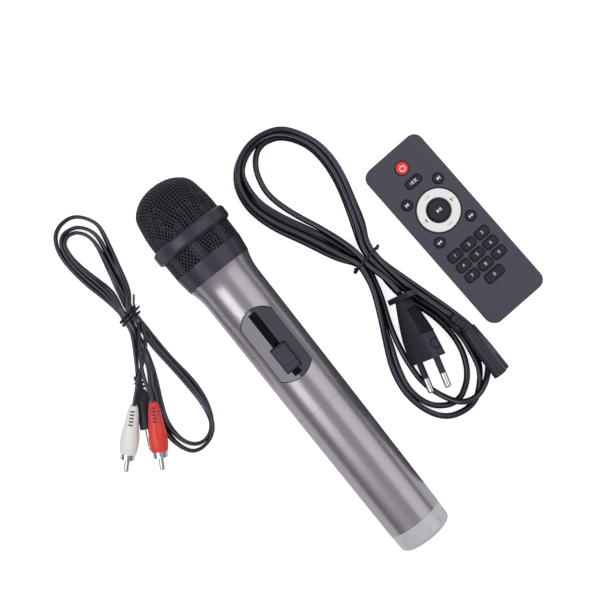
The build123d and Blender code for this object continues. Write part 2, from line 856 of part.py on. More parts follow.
tie_thickness = 1.2
tie_width = 2.0
with BuildPart() as mains_tie:
    with BuildSketch(Plane.XZ.offset(-mains_neck[1])):
        with Locations((mains_neck[0], (mains_neck_floor + mains_neck_top) / 2)):
            RectangleRounded(
                mains_neck_size[0] + 2 * fit_gap + 2 * tie_thickness,
                mains_neck_top - mains_neck_floor + 2 * fit_gap + 2 * tie_thickness,
                1.1,
            )
            Rectangle(
                mains_neck_size[0] + 2 * fit_gap,
                mains_neck_top - mains_neck_floor + 2 * fit_gap,
                mode=Mode.SUBTRACT,
            )
    extrude(amount=tie_width / 2, both=True)
keep("mains_tie", mains_tie.part)

# Two-pin plug, standing nearly on its edge with the farther pin higher.
euro_rear = (13.1, -9.6, 12.6)
euro_front = (1.8, -49.3, 15.2)
euro_roll = math.radians(60)
euro_across = (math.cos(euro_roll) * 0.962, -math.cos(euro_roll) * 0.274, math.sin(euro_roll))
euro = plug_frame(euro_rear, euro_front, euro_across)
euro_length = (Vector(*euro_front) - Vector(*euro_rear)).length
euro_lip = 3.2
pin_pitch = 18.2
pin_radius = 2.0
pin_core = 1.5
pin_sleeve = 10.0
pin_reach = 19.0
pin_places = ((-pin_pitch / 2, 0), (pin_pitch / 2, 0))

with BuildPart() as euro_plug_body:
    with BuildSketch(euro):
        Ellipse(13.5, 5.0)
    extrude(amount=euro_lip)
    with BuildSketch(euro.offset(euro_lip)):
        Ellipse(5.2, 4.5)
    with BuildSketch(euro.offset(9.0)):
        Ellipse(7.4, 5.6)
    with BuildSketch(euro.offset(26.0)):
        Ellipse(14.0, 6.7)
    loft()
    with BuildSketch(euro.offset(26.0)):
        Ellipse(14.0, 6.7)
    with BuildSketch(euro.offset(euro_length)):
        Ellipse(16.5, 6.85)
    loft()
    with BuildSketch(euro.offset(euro_length)):
        with Locations(*pin_places):
            Circle(pin_radius)
    extrude(amount=pin_sleeve)
    with BuildSketch(euro.offset(euro_length - 6.0)):
        with Locations(*pin_places):
            Circle(pin_core + fit_gap)
    extrude(amount=pin_sleeve + 6.0, mode=Mode.SUBTRACT)
keep("euro_plug_body", euro_plug_body.part)

with BuildPart() as euro_plug_pins:
    with BuildSketch(euro.offset(euro_length - 6.0)):
        with Locations(*pin_places):
            Circle(pin_core)
    extrude(amount=6.0 + pin_sleeve)
    with BuildSketch(euro.offset(euro_length + pin_sleeve)):
        with Locations(*pin_places):
            Circle(pin_radius)
    extrude(amount=pin_reach - pin_sleeve)
    fillet(euro_plug_pins.faces().sort_by(Axis(euro.origin, euro.z_dir))[-2:].edges(), 1.2)
keep("euro_plug_pins", euro_plug_pins.part)

# Figure-eight connector, also on its edge, lying over the far arm of the hank.
c7_cord_end = (28.8, -38.6, 12.4)
c7_rear = (31.9, -49.7, 13.0)
c7_front = (31.7, -82.2, 13.0)
c7_roll = math.radians(60)
c7 = plug_frame(c7_rear, c7_front, (-math.cos(c7_roll), 0, math.sin(c7_roll)))
c7_length = (Vector(*c7_front) - Vector(*c7_rear)).length
c7_width = 15.0
c7_thickness = 8.4
socket_radius = 1.3
socket_pitch = 8.6
socket_depth = 11.0
c7_relief = plug_frame(c7_cord_end, c7_rear, (-math.cos(c7_roll), 0, math.sin(c7_roll)))
c7_relief_length = (Vector(*c7_rear) - Vector(*c7_cord_end)).length

with BuildPart() as c7_plug_body:
    with BuildSketch(c7):
        SlotOverall(10.6, 7.8)
    with BuildSketch(c7.offset(c7_length * 0.5)):
        SlotOverall(c7_width - 0.8, c7_thickness)
    loft()
    with BuildSketch(c7.offset(c7_length * 0.5)):
        SlotOverall(c7_width - 0.8, c7_thickness)
    with BuildSketch(c7.offset(c7_length)):
        SlotOverall(c7_width, c7_thickness)
    loft()
    with BuildSketch(c7_relief):
        Circle(3.0)
    with BuildSketch(c7_relief.offset(c7_relief_length + 1.5)):
        Circle(3.8)
    loft()
    with BuildSketch(c7.offset(c7_length)):
        with Locations((0, c7_thickness / 2 + 0.5), (0, -c7_thickness / 2 - 0.5)):
            Circle(1.5)
    extrude(amount=-11.0, mode=Mode.SUBTRACT)
    with BuildSketch(c7.offset(c7_length)):
        with Locations((-socket_pitch / 2, 0), (socket_pitch / 2, 0)):
            Circle(socket_radius)
    extrude(amount=-socket_depth, mode=Mode.SUBTRACT)
    for rib in range(3):
        with BuildSketch(c7_relief.offset(2.6 + 2.8 * rib)):
            Circle(5.0)
            Circle(2.5, mode=Mode.SUBTRACT)
        extrude(amount=1.1, mode=Mode.SUBTRACT)
keep("c7_plug_body", c7_plug_body.part)

cord_tube(
    "euro_plug_cord",
    [(12.0, mains_exit_y, 8.6), (13.4, 1.4, 10.4), euro_rear],
    mains_cord_width,
)
cord_tube(
    "c7_plug_cord",
    [(18.0, mains_exit_y, 8.6), (19.4, -0.6, 9.2), (22.2, -13.8, 10.1), (25.6, -26.8, 11.2), c7_cord_end],
    mains_cord_width,
)

# ================================================================ audio lead
audio_upper_height = 5.0
audio_lower_height = 4.2
audio_neck_floor = 1.3
audio_neck_top = 9.3
audio_neck = (-121.0, 79.0)
audio_neck_size = (11.0, 14.0)
audio_exit_y = audio_neck[1] - audio_neck_size[1] / 2

audio_upper_outside = lobe_face(
    [(-126.2, 74), (-127.0, 97.9), (-130.7, 111.7), (-132.8, 128), (-129.5, 143.5), (-118, 150.8)],
    [(-126.2, 74), (-115.8, 74), (-109.5, 100), (-103.9, 120.6), (-101.4, 134), (-107.5, 147.3),
     (-118, 150.8)],
    0,
)
audio_upper_hole = lobe_face(
    [(-117.5, 94), (-120.2, 104.4), (-124.4, 115.7), (-126.3, 128.1), (-123.4, 137.6), (-118, 139.3)],
    [(-117.5, 94), (-115.6, 104), (-112.6, 117), (-111.2, 126.6), (-113.2, 136), (-118, 139.3)],
    0,
)
audio_lower_outside = lobe_face(
    [(-126.2, 84), (-126.4, 70), (-131.6, 53), (-138.0, 41), (-143.4, 30.3), (-147.6, 18), (-148.0, 5),
     (-143.4, -6.8), (-135, -10)],
    [(-126.2, 84), (-115.8, 84), (-116.2, 55), (-114.4, 35), (-114.2, 17), (-118.4, 1.2), (-126.5, -7.8),
     (-135, -10)],
    0,
)
audio_lower_hole = lobe_face(
    [(-122.4, 58), (-127, 47.6), (-132.6, 37.6), (-139, 25.7), (-142.4, 13), (-141.4, 3.4),
     (-137.1, -3.5), (-131.5, -5.2)],
    [(-122.4, 58), (-121, 39.2), (-119.9, 20.7), (-121.3, 7.2), (-125.8, -3.0), (-131.5, -5.2)],
    0,
)

with BuildPart() as audio_cable_hank:
    extrude(audio_upper_outside, amount=audio_upper_height)
    extrude(audio_lower_outside, amount=audio_lower_height)
    extrude(audio_upper_hole, amount=audio_upper_height, mode=Mode.SUBTRACT)
    extrude(audio_lower_hole, amount=audio_lower_height, mode=Mode.SUBTRACT)
    with BuildSketch(Plane.XY):
        with Locations(audio_neck):
            Rectangle(2 * audio_neck_size[0], audio_neck_size[1])
    extrude(amount=audio_neck_top, mode=Mode.SUBTRACT)
    with BuildSketch(Plane.XY.offset(audio_neck_floor)):
        with Locations(audio_neck):
            Rectangle(*audio_neck_size)
    extrude(amount=audio_neck_top - audio_neck_floor)
keep("audio_cable_hank", audio_cable_hank.part)

with BuildPart() as audio_tie:
    with BuildSketch(Plane.XZ.offset(-audio_neck[1])):
        with Locations((audio_neck[0], (audio_neck_floor + audio_neck_top) / 2)):
            RectangleRounded(
                audio_neck_size[0] + 2 * fit_gap + 2 * tie_thickness,
                audio_neck_top - audio_neck_floor + 2 * fit_gap + 2 * tie_thickness,
                1.1,
            )
            Rectangle(
                audio_neck_size[0] + 2 * fit_gap,
                audio_neck_top - audio_neck_floor + 2 * fit_gap,
                mode=Mode.SUBTRACT,
            )
    extrude(amount=2 * tie_width, both=True)
keep("audio_tie", audio_tie.part)

# Phono plugs: a moulded grip, a split outer contact and a centre pin held by the grip's core.
white_rear = (-150.9, 36.6, 11.4)
white_tip = (-180.6, 8.2, 4.5)
red_rear = (-140.5, 31.1, 13.8)
red_tip = (-161.6, -4.2, 9.8)
grip_length = 29.3
shell_start = 23.0
shell_end = 33.0
shell_radius = 4.4
shell_bore = 3.7
slit_width = 0.8
phono_pin_radius = 1.6
phono_root_radius = 1.1
phono_pin_end = 41.0
phono_core_end = 30.5
white_frame = plug_frame(white_rear, white_tip, (1, 0, 0))
red_frame = plug_frame(red_rear, red_tip, (1, 0, 0))


def phono_grip(name, frame):
    """The moulded grip of a phono plug, swelling towards the front."""
    section = Plane(frame.origin, x_dir=frame.x_dir, z_dir=-frame.y_dir)
    grip_mouth = (4.9, grip_length)
    with BuildPart() as grip:
        with BuildSketch(section):
            with BuildLine():
                Polyline((0, grip_length), (0, 0), (2.3, 0))
                Spline((2.3, 0), (3.6, 5.4), (4.25, 10.8), (5.35, 18.0), (5.65, 22), (5.4, 26), grip_mouth)
                Line(grip_mouth, (0, grip_length))
            make_face()
        revolve(axis=Axis(frame.origin, frame.z_dir))
        with BuildSketch(frame.offset(shell_start)):
            Circle(shell_radius + fit_gap)
            Circle(shell_bore - fit_gap, mode=Mode.SUBTRACT)
        extrude(amount=grip_length, mode=Mode.SUBTRACT)
        with BuildSketch(frame.offset(grip_length)):
            Circle(shell_bore - fit_gap)
        extrude(amount=phono_core_end - grip_length)
        with BuildSketch(frame.offset(shell_start)):
            Circle(phono_root_radius + fit_gap)
        extrude(amount=grip_length, mode=Mode.SUBTRACT)
    keep(name, grip.part)


phono_grip("white_plug_grip", white_frame)
phono_grip("red_plug_grip", red_frame)

with BuildPart() as phono_plug_contacts:
    for frame in (white_frame, red_frame):
        with BuildSketch(frame.offset(shell_start)):
            Circle(shell_radius)
            Circle(shell_bore, mode=Mode.SUBTRACT)
        extrude(amount=shell_end - shell_start)
        with BuildSketch(frame.offset(grip_length + 0.8)):
            Rectangle(2 * shell_radius + 1, slit_width)
            Rectangle(slit_width, 2 * shell_radius + 1)
        extrude(amount=shell_end - grip_length, mode=Mode.SUBTRACT)
        with BuildSketch(frame.offset(shell_start)):
            Circle(phono_root_radius)
        extrude(amount=shell_end - shell_start)
        with BuildSketch(frame.offset(shell_end)):
            Circle(phono_pin_radius)
        extrude(amount=phono_pin_end - shell_end)
        fillet(phono_plug_contacts.faces().sort_by(Axis(frame.origin, frame.z_dir))[-1].edges(), 1.0)
keep("phono_plug_contacts", phono_plug_contacts.part)

# Jack plug lying under the two phono plugs.
jack_rear = (-139.3, 49.2, 4.5)
jack_tip = (-154.4, 20.1, 4.5)
jack = plug_frame(jack_rear, jack_tip, (1, 0, 0))
jack_relief_length = 10.0
jack_body_length = 22.0
jack_body_radius = 4.5
jack_pin_radius = 1.75
jack_root_radius = 1.3
jack_root_length = 8.0
jack_pin_length = 14.0
jack_front = jack_relief_length + jack_body_length

with BuildPart() as jack_grip:
    with BuildSketch(jack):
        Circle(2.5)
    with BuildSketch(jack.offset(jack_relief_length)):
        Circle(3.3)
    loft()
    for rib in range(3):
        with BuildSketch(jack.offset(2.4 + 2.6 * rib)):
            Circle(5.0)
            Circle(2.1, mode=Mode.SUBTRACT)
        extrude(amount=1.1, mode=Mode.SUBTRACT)
    with BuildSketch(jack.offset(jack_relief_length)):
        Circle(3.9)
    with BuildSketch(jack.offset(jack_relief_length + 4.0)):
        Circle(jack_body_radius)
    loft()
    with BuildSketch(jack.offset(jack_relief_length + 4.0)):
        Circle(jack_body_radius)
    extrude(amount=jack_body_length - 4.0)
    with BuildSketch(jack.offset(jack_front - jack_root_length)):
        Circle(jack_root_radius + fit_gap)
    extrude(amount=jack_root_length, mode=Mode.SUBTRACT)
keep("jack_grip", jack_grip.part)

with BuildPart() as jack_contact:
    with BuildSketch(Plane(jack.origin, x_dir=jack.x_dir, z_dir=-jack.y_dir)):
        with BuildLine():
            Polyline(
                (0, jack_front - jack_root_length),
                (jack_root_radius, jack_front - jack_root_length),
                (jack_root_radius, jack_front),
                (jack_pin_radius, jack_front),
                (jack_pin_radius, jack_front + jack_pin_length - 3.4),
                (1.2, jack_front + jack_pin_length - 2.7),
                (jack_pin_radius, jack_front + jack_pin_length - 1.6),
                (0.5, jack_front + jack_pin_length),
                (0, jack_front + jack_pin_length),
                close=True,
            )
        make_face()
    revolve(axis=Axis(jack.origin, jack.z_dir))
keep("jack_contact", jack_contact.part)

cord_tube(
    "jack_plug_cord",
    [(-124.2, audio_exit_y, 6.8), (-128.2, 65.4, 6.2), (-133.8, 57.4, 5.3), jack_rear],
    pair_cord_width,
)
cord_tube(
    "white_plug_cord",
    [(-117.6, audio_exit_y, 6.6), (-120.6, 64.2, 7.6), (-127.2, 56.6, 9.6), (-135.0, 50.2, 11.6),
     (-143.2, 43.6, 12.4), white_rear],
    single_cord_width,
)
cord_tube(
    "red_plug_cord",
    [(-120.1, audio_exit_y, 7.8), (-124.2, 65.2, 9.8), (-129.4, 57.8, 13.0), (-134.4, 48.6, 15.0),
     (-137.8, 39.4, 14.8), red_rear],
    single_cord_width,
)
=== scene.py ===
"""A karaoke accessory set laid out flat: hand microphone, key remote, mains lead and audio lead."""
import math

import bmesh
import bpy
import numpy as np
from mathutils import Matrix, Vector


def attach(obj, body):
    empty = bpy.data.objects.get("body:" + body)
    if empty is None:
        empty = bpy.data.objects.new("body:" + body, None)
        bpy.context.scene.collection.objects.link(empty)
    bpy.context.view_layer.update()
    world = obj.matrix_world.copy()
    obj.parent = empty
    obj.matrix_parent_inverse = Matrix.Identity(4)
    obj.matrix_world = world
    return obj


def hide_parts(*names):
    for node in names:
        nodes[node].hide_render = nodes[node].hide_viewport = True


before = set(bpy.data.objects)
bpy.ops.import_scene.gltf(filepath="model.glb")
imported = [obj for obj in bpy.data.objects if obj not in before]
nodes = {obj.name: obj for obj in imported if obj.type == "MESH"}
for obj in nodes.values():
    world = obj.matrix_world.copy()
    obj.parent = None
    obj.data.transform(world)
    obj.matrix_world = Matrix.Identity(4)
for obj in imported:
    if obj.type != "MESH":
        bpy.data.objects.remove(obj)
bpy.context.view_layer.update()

# Camera: straight above the middle of the set, turned so that the microphone points to the
# upper left, with a long lens as for a catalogue picture.
camera_height = 0.700
seen_height = 0.3624
sensor_size = 36.0
camera_data = bpy.data.cameras.new("overhead_camera")
camera_data.lens = sensor_size * camera_height / seen_height
camera_data.sensor_width = sensor_size
camera = bpy.data.objects.new("overhead_camera", camera_data)
camera.location = (-0.0372, 0.0248, camera_height)
camera.rotation_euler = (0, 0, math.radians(-38.25))
bpy.context.scene.collection.objects.link(camera)
bpy.context.scene.camera = camera


# Studio: a seamless white table top under two softboxes, one at each side of the microphone.
# The paper is matt and keeps only the faint shadow under each piece.
def linear(hex_colour):
    """An sRGB colour such as "4a4852" as linear red, green, blue and alpha."""
    channels = [int(hex_colour[place:place + 2], 16) / 255 for place in (0, 2, 4)]
    return [c / 12.92 if c <= 0.04045 else ((c + 0.055) / 1.055) ** 2.4 for c in channels] + [1.0]


def add(material, kind, inputs=None, **settings):
    """Adds a shader node: settings are its properties, inputs the values or links of its sockets."""
    tree = material.node_tree
    node = tree.nodes.new("ShaderNode" + kind)
    for name, value in settings.items():
        setattr(node, name, value)
    for name, value in (inputs or {}).items():
        if isinstance(value, bpy.types.NodeSocket):
            tree.links.new(value, node.inputs[name])
        else:
            node.inputs[name].default_value = value
    return node


paper_size = 6.0
bpy.ops.mesh.primitive_plane_add(size=paper_size, location=(0, 0, 0))
paper = bpy.context.object
paper.name = "paper_floor"
white_paper = bpy.data.materials.new("white_paper")
white_paper.use_nodes = True
white_paper.node_tree.nodes.clear()
rays = add(white_paper, "LightPath")
seen = add(white_paper, "Math", {0: rays.outputs["Is Camera Ray"], 1: rays.outputs["Is Glossy Ray"]},
           operation="MAXIMUM")
seen_or_through = add(white_paper, "Math", {0: seen.outputs[0], 1: rays.outputs["Is Transmission Ray"]},
                      operation="MAXIMUM")
matt = add(white_paper, "BsdfDiffuse", {"Color": linear("d8d8d8")})
glow = add(white_paper, "Emission", {"Strength": seen_or_through.outputs[0]})
camera_share, gloss_share = 0.80, 0.18
share = add(white_paper, "MapRange", {0: rays.outputs["Is Glossy Ray"], 3: camera_share, 4: gloss_share})
dimmed = add(white_paper, "MixShader", {0: share.outputs[0], 2: glow.outputs[0]})
both = add(white_paper, "AddShader", {0: matt.outputs[0], 1: dimmed.outputs[0]})
add(white_paper, "OutputMaterial", {"Surface": both.outputs[0]})
paper.data.materials.append(white_paper)

# The room round the table is dim near the horizon and lighter overhead, which gives gloss its
# dark bands, and it is plain white wherever it is seen directly or through something.
ambient, horizon, zenith = 0.544, 0.024, 0.40
studio = bpy.data.worlds.new("studio")
studio.use_nodes = True
studio.node_tree.nodes.clear()
rays = add(studio, "LightPath")
direction = add(studio, "TexCoord")
height = add(studio, "SeparateXYZ", {"Vector": direction.outputs["Generated"]})
room = add(studio, "MapRange", {0: height.outputs["Z"], 1: 0.0, 2: 0.8, 3: horizon, 4: zenith})
unseen = add(studio, "Mix", {"Factor": rays.outputs["Is Glossy Ray"], 2: ambient, 3: room.outputs[0]})
direct = add(studio, "Math", {0: rays.outputs["Is Camera Ray"], 1: rays.outputs["Is Transmission Ray"]},
             operation="MAXIMUM")
level = add(studio, "Mix", {"Factor": direct.outputs[0], 2: unseen.outputs[0], 3: 1.0})
sky = add(studio, "Background", {"Color": linear("ffffff"), "Strength": level.outputs[0]})
add(studio, "OutputWorld", {"Surface": sky.outputs[0]})
bpy.context.scene.world = studio
bpy.context.scene.view_settings.view_transform = "Standard"

lamp_distance = 1.20
lamp_centre = Vector((-0.06, 0.0, 0.0))
for name, lean, ahead, width, length, watts in (
        ("left_softbox", -35.5, 0.20, 0.72, 0.90, 4.1), ("right_softbox", 46.0, 0.0, 1.15, 1.50, 4.3)):
    lamp_data = bpy.data.lights.new(name, "AREA")
    lamp_data.shape = "RECTANGLE"
    lamp_data.size = width
    lamp_data.size_y = length
    lamp_data.energy = watts
    lamp = bpy.data.objects.new(name, lamp_data)
    tilt = math.radians(lean)
    lamp.location = lamp_centre + Vector((0, ahead, 0)) + lamp_distance * Vector(
        (math.sin(tilt), 0, math.cos(tilt)))
    lamp.rotation_euler = (0, tilt, 0)
    bpy.context.scene.collection.objects.link(lamp)

# A black flag lies along the right of the microphone and is met by gloss only: it draws the
# dark line that runs down the tube's right edge.
flag_width, flag_length, flag_left, flag_height = 0.075, 0.215, -0.0405, 0.0003
bpy.ops.mesh.primitive_plane_add(size=1, location=(0, 0, 0))
flag = bpy.context.object
flag.name = "black_flag"
flag.data.transform(Matrix.Translation((flag_left + flag_width / 2, 0.0, flag_height))
                    @ Matrix.Diagonal((flag_width, flag_length, 1, 1)))
flag.visible_camera = flag.visible_diffuse = flag.visible_shadow = flag.visible_transmission = False
flag_black = bpy.data.materials.new("flag_black_velvet")
flag_black.use_nodes = True
flag_black.node_tree.nodes["Principled BSDF"].inputs["Base Color"].default_value = linear("050505")
flag.data.materials.append(flag_black)


# Mains lead: flat twin flexible cord in black PVC, 3.4 by 5.6 mm, standing on its narrow edge.
# It is wound in long oval turns from the two-pin plug to the figure-eight connector, and a
# wire tie pinches the turns in the middle.
MM = 0.001


def figure_eight(name, core, pitch, arc_points=8):
    """A closed outline of two round cores side by side, one above the other, as a flat curve."""
    waist = math.acos(pitch / (2 * core) * 0.94)
    outline = bpy.data.curves.new(name, "CURVE")
    outline.dimensions = "2D"
    spline = outline.splines.new("POLY")
    spline.points.add(2 * arc_points - 1)
    for number, knot in enumerate(spline.points):
        upper = number < arc_points
        share = (number % arc_points) / (arc_points - 1)
        turn = -math.pi / 2 + waist + share * 2 * (math.pi - waist) if upper else (
            math.pi / 2 + waist + share * 2 * (math.pi - waist))
        side = pitch / 2 if upper else -pitch / 2
        knot.co = (MM * core * math.cos(turn), MM * (side + core * math.sin(turn)), 0, 1)
    spline.use_cyclic_u = True
    outline_object = bpy.data.objects.new(name, outline)
    bpy.context.scene.collection.objects.link(outline_object)
    return outline_object


def cord_line(name, points, tilts=None, steps=6):
    """A smooth open NURBS line with the route's points, in millimetres, as its control points."""
    line = bpy.data.curves.new(name, "CURVE")
    line.dimensions = "3D"
    line.twist_mode = "Z_UP"
    line.resolution_u = steps
    spline = line.splines.new("NURBS")
    spline.points.add(len(points) - 1)
    for knot, place, tilt in zip(spline.points, points, tilts or [0] * len(points)):
        knot.co = (MM * place[0], MM * place[1], MM * place[2], 1)
        knot.tilt = math.radians(tilt)
    spline.order_u = 3
    spline.use_endpoint_u = True
    line_object = bpy.data.objects.new(name, line)
    bpy.context.scene.collection.objects.link(line_object)
    return line_object


def cord_mesh(name, line, outline):
    """A mesh tube of one outline along a line, with the points of the line that it follows."""
    path = [tuple(point.co) for point in bpy.data.meshes.new_from_object(line).vertices]
    line.data.bevel_mode = "OBJECT"
    line.data.bevel_object = outline
    line.data.use_fill_caps = True
    bpy.context.view_layer.update()
    shape = bpy.data.meshes.new_from_object(line.evaluated_get(bpy.context.evaluated_depsgraph_get()))
    mesh = bmesh.new()
    mesh.from_mesh(shape)
    bmesh.ops.remove_doubles(mesh, verts=mesh.verts, dist=1e-6)
    bmesh.ops.recalc_face_normals(mesh, faces=mesh.faces)
    mesh.to_mesh(shape)
    mesh.free()
    bpy.data.objects.remove(line)
    piece = bpy.data.objects.new(name, shape)
    bpy.context.scene.collection.objects.link(piece)
    for face in shape.polygons:
        face.use_smooth = True
    return piece, path


def lobe(outer, inner, weights, heights):
    """One pass round a lobe: weight 0 is its innermost line and 1 its outermost, height its middle."""
    stations = range(len(outer))
    shares = np.interp(stations, *zip(*weights))
    levels = np.interp(stations, *zip(*heights))
    return [(near[0] + share * (far[0] - near[0]), near[1] + share * (far[1] - near[1]), level)
            for far, near, share, level in zip(outer, inner, shares, levels)]


def tilts_of(keys, count):
    """The turn of the flat cord about its own line at each station, in degrees."""
    return list(np.interp(range(count), *zip(*keys)))


flat, low, high, neck_low, neck_high = 1.9, 2.85, 8.5, 4.0, 9.6
neck_bottom, neck_top, neck_top_up = 15.0, 26.0, 20.5
upper_outer = [
    (-2.9, 30.6), (-12.1, 50.8), (-21.3, 68.2), (-25.9, 85), (-24.5, 98.3), (-19.4, 107.4), (-12.2, 113),
    (-3, 116.5), (7.8, 116.3), (19.1, 112.1), (26.8, 102), (31.4, 91), (32.4, 78.4), (30.5, 65.4),
    (26.4, 51.3), (23, 38)]
upper_inner = [
    (7.6, 31.2), (1.4, 50), (-7.4, 69.5), (-11.8, 86), (-9.5, 98.5), (-5.8, 105.6), (-0.8, 110.4),
    (4.9, 112.0), (10.3, 110.9), (15.8, 108.6), (22, 101.5), (26.5, 91.5), (27.4, 78), (25.4, 64.5),
    (21.5, 51), (17, 38.5)]
lower_outer = [
    (22.3, -5), (27, -20.5), (31.9, -36.6), (35.7, -53), (34.5, -66), (29, -76), (21, -83.5), (11, -87.5),
    (0.5, -88.3), (-10.5, -84.3), (-17.7, -73), (-20.6, -57.5), (-17.7, -41.8), (-12, -29.2),
    (-5.4, -15.5), (2.6, 1.8)]
lower_inner = [
    (12.3, -6.5), (17.2, -19.2), (21.9, -32.4), (23.7, -47), (22.5, -58), (19, -67), (14.5, -73.5),
    (9.5, -77.5), (4, -79.7), (-1, -77), (-5, -70.5), (-8.3, -60), (-8.1, -46.5), (-5.3, -29.8),
    (-1, -16), (4.5, -3)]
# Upper and lower passes, as weights, heights and tilts at numbered stations of the lobe's outline.
# The strand that lies on top is the last one wound, and the third turn lies flat in two stretches.
upright = [(0, 0)]
upper_passes = [
    ([(0, 0)], [(0, 7.5), (1, low), (15, low)], upright),
    ([(0, 1)], [(0, low), (15, low)], upright),
    ([(0, 0.36), (1, 0.36), (2, 0.45), (3, 0.57), (4, 0.64), (5, 0.71), (6, 0.66), (7, 0.60), (8, 0.48),
      (9, 0.22), (10, 0.14), (14, 0.17), (15, 0.22)],
     [(0, 2.75), (1, flat), (3, flat), (4, low), (7, low), (8, 5.0), (9, 7.6), (10, high), (15, high)],
     [(0, 40), (1, 90), (3, 90), (4, 40), (5, 0)]),
    ([(0, 0.72), (1, 0.73), (2, 0.78), (3, 0.87), (7, 0.9), (9, 0.95), (10, 0.84), (14, 0.82), (15, 0.78)],
     [(0, high), (1, 7.4), (3, 7.4), (4, high), (15, high)], upright)]
lower_passes = [
    ([(0, 0), (7, 0), (8, 0.1), (9, 0.38), (10, 0.70), (11, 0.76), (12, 0.68), (13, 0.56), (14, 0.8),
      (15, 0.8)],
     [(0, low), (15, low)], upright),
    ([(0, 1), (5, 1), (6, 0.94), (7, 0.8), (8, 0.35), (9, 0.05), (10, 0)],
     [(0, low), (5, low), (6, 5.6), (7, 8.6), (8, 8.6), (9, 6.0), (10, 3.0), (15, low)], upright),
    ([(0, 0.40), (1, 0.35), (2, 0.36), (3, 0.42), (4, 0.42), (5, 0.58), (6, 0.68), (7, 0.97), (8, 1)],
     [(0, 6.5), (1, 4.4), (2, 3.2), (3, 2.1), (4, 2.1), (5, low), (12, low), (13, 4.6), (14, high),
      (15, 8.6)],
     [(0, 0), (2, 0), (3, 90), (4, 90), (5, 30), (6, 0)])]
up_lanes = [(8.9, neck_high), (5.3, neck_low), (8.9, neck_low), (5.3, neck_high)]
down_lanes = [(12.6, neck_low), (16.2, neck_low), (12.6, neck_high), (16.2, neck_high)]

mains_route = [(13.1, -9.6, 12.6), (13.4, 1.4, 10.4)]
mains_tilts = [0] * len(mains_route)
for turn, (weights, heights, tilts) in enumerate(upper_passes):
    lane, level = up_lanes[turn]
    mains_route += [(lane, neck_bottom, level), (lane, neck_top_up, level)]
    mains_route += lobe(upper_outer, upper_inner, weights, heights)
    mains_tilts += [0, 0] + tilts_of(tilts, len(upper_outer))
    lane, level = down_lanes[turn]
    mains_route += [(lane, neck_top, level), (lane, neck_bottom, level)]
    mains_tilts += [0, 0]
    if turn < len(lower_passes):
        weights, heights, tilts = lower_passes[turn]
        mains_route += lobe(lower_outer, lower_inner, weights, heights)
        mains_tilts += tilts_of(tilts, len(lower_outer))
mains_route += [(18.4, -0.6, 9.2), (21.6, -13.8, 10.1), (25.6, -26.8, 11.2), (28.8, -38.6, 12.4)]

mains_outline = figure_eight("mains_outline", core=1.7, pitch=2.2)
mains_tilts += [0] * (len(mains_route) - len(mains_tilts))
mains_lead, mains_path = cord_mesh(
    "mains_lead", cord_line("mains_line", mains_route, mains_tilts), mains_outline)
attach(mains_lead, "set")
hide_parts("mains_cable_hank", "euro_plug_cord", "c7_plug_cord")

# PVC cord sheath: soft black, drawn through a die, so it is smooth with a faint grain and a
# broad highlight.
cool_gloss, clear_gloss = linear("dedaf2"), linear("ffffff")


def moulded(name, dark, light, roughness, grain_scale=1800.0, grain_bump=0.15, metallic=0.0,
            gloss=cool_gloss, grain_detail=2.0, spread=0.04, cloud_scale=90.0, cloud_detail=2.0):
    """Finish of a moulded or drawn part: two close shades of one colour under a spark grain."""
    plastic = bpy.data.materials.new(name)
    plastic.use_nodes = True
    shader = plastic.node_tree.nodes["Principled BSDF"]
    shader.inputs["Metallic"].default_value = metallic
    shader.inputs["Specular Tint"].default_value = gloss
    shader.inputs["Roughness"].default_value = roughness
    place = add(plastic, "TexCoord").outputs["Object"]
    grain = add(plastic, "TexNoise", {"Vector": place, "Scale": grain_scale, "Detail": grain_detail})
    tint = add(plastic, "MixRGB", {0: grain.outputs[0], 1: linear(dark), 2: linear(light)})
    links = [(tint, "Base Color")]
    if spread:
        cloud = add(plastic, "TexNoise", {"Vector": place, "Scale": cloud_scale, "Detail": cloud_detail})
        links += [(add(plastic, "MapRange", {0: cloud.outputs[0], 3: roughness - spread,
                                             4: roughness + spread}), "Roughness")]
    if grain_bump:
        links += [(add(plastic, "Bump", {"Height": grain.outputs[0], "Strength": grain_bump,
                                         "Distance": 0.0001}), "Normal")]
    for output, socket in links:
        plastic.node_tree.links.new(output.outputs[0], shader.inputs[socket])
    return plastic


sheath_black = moulded("sheath_black_pvc", "15141b", "201f27", 0.25, 1200.0, 0.12, spread=0)
sheath_black.node_tree.nodes["Principled BSDF"].inputs["IOR"].default_value = 1.85
mains_lead.data.materials.append(sheath_black)

# Audio lead: two thin round cores side by side in black PVC, 2.2 by 4.4 mm. It runs from the
# jack plug through two and a half flat loops, stands on edge round the ends of the loops, and
# splits at the tie into the white and the red plug's own cores.
on_floor, on_edge = 1.15, 2.2
audio_upper_outer = [
    (-125.6, 98.1), (-129.3, 111.9), (-131.4, 126.5), (-131.1, 136.8), (-127.6, 144.7), (-122.0, 148.5),
    (-114.2, 149.1), (-108.3, 146.2), (-103.6, 139.3), (-102.1, 132.9), (-105.0, 120.9), (-108.7, 107.0),
    (-112.6, 91.9)]
audio_upper_inner = [
    (-120.6, 97.0), (-124.4, 111.5), (-127.4, 126.0), (-126.4, 136.8), (-123.8, 139.8), (-120.6, 141.0),
    (-117.0, 140.1), (-114.5, 138.6), (-111.2, 134.0), (-110.2, 127.0), (-111.9, 117.2), (-114.8, 104.2),
    (-117.4, 91.0)]
audio_lower_outer = [
    (-118.2, 59.0), (-118.3, 45.0), (-115.9, 27.0), (-116.4, 11.5), (-120.9, -1.4), (-127.2, -6.8),
    (-134.8, -8.7), (-141.7, -7.1), (-145.6, -0.1), (-147.1, 8.1), (-146.1, 19.4), (-142.0, 30.0),
    (-136.6, 40.0), (-129.6, 52.0)]
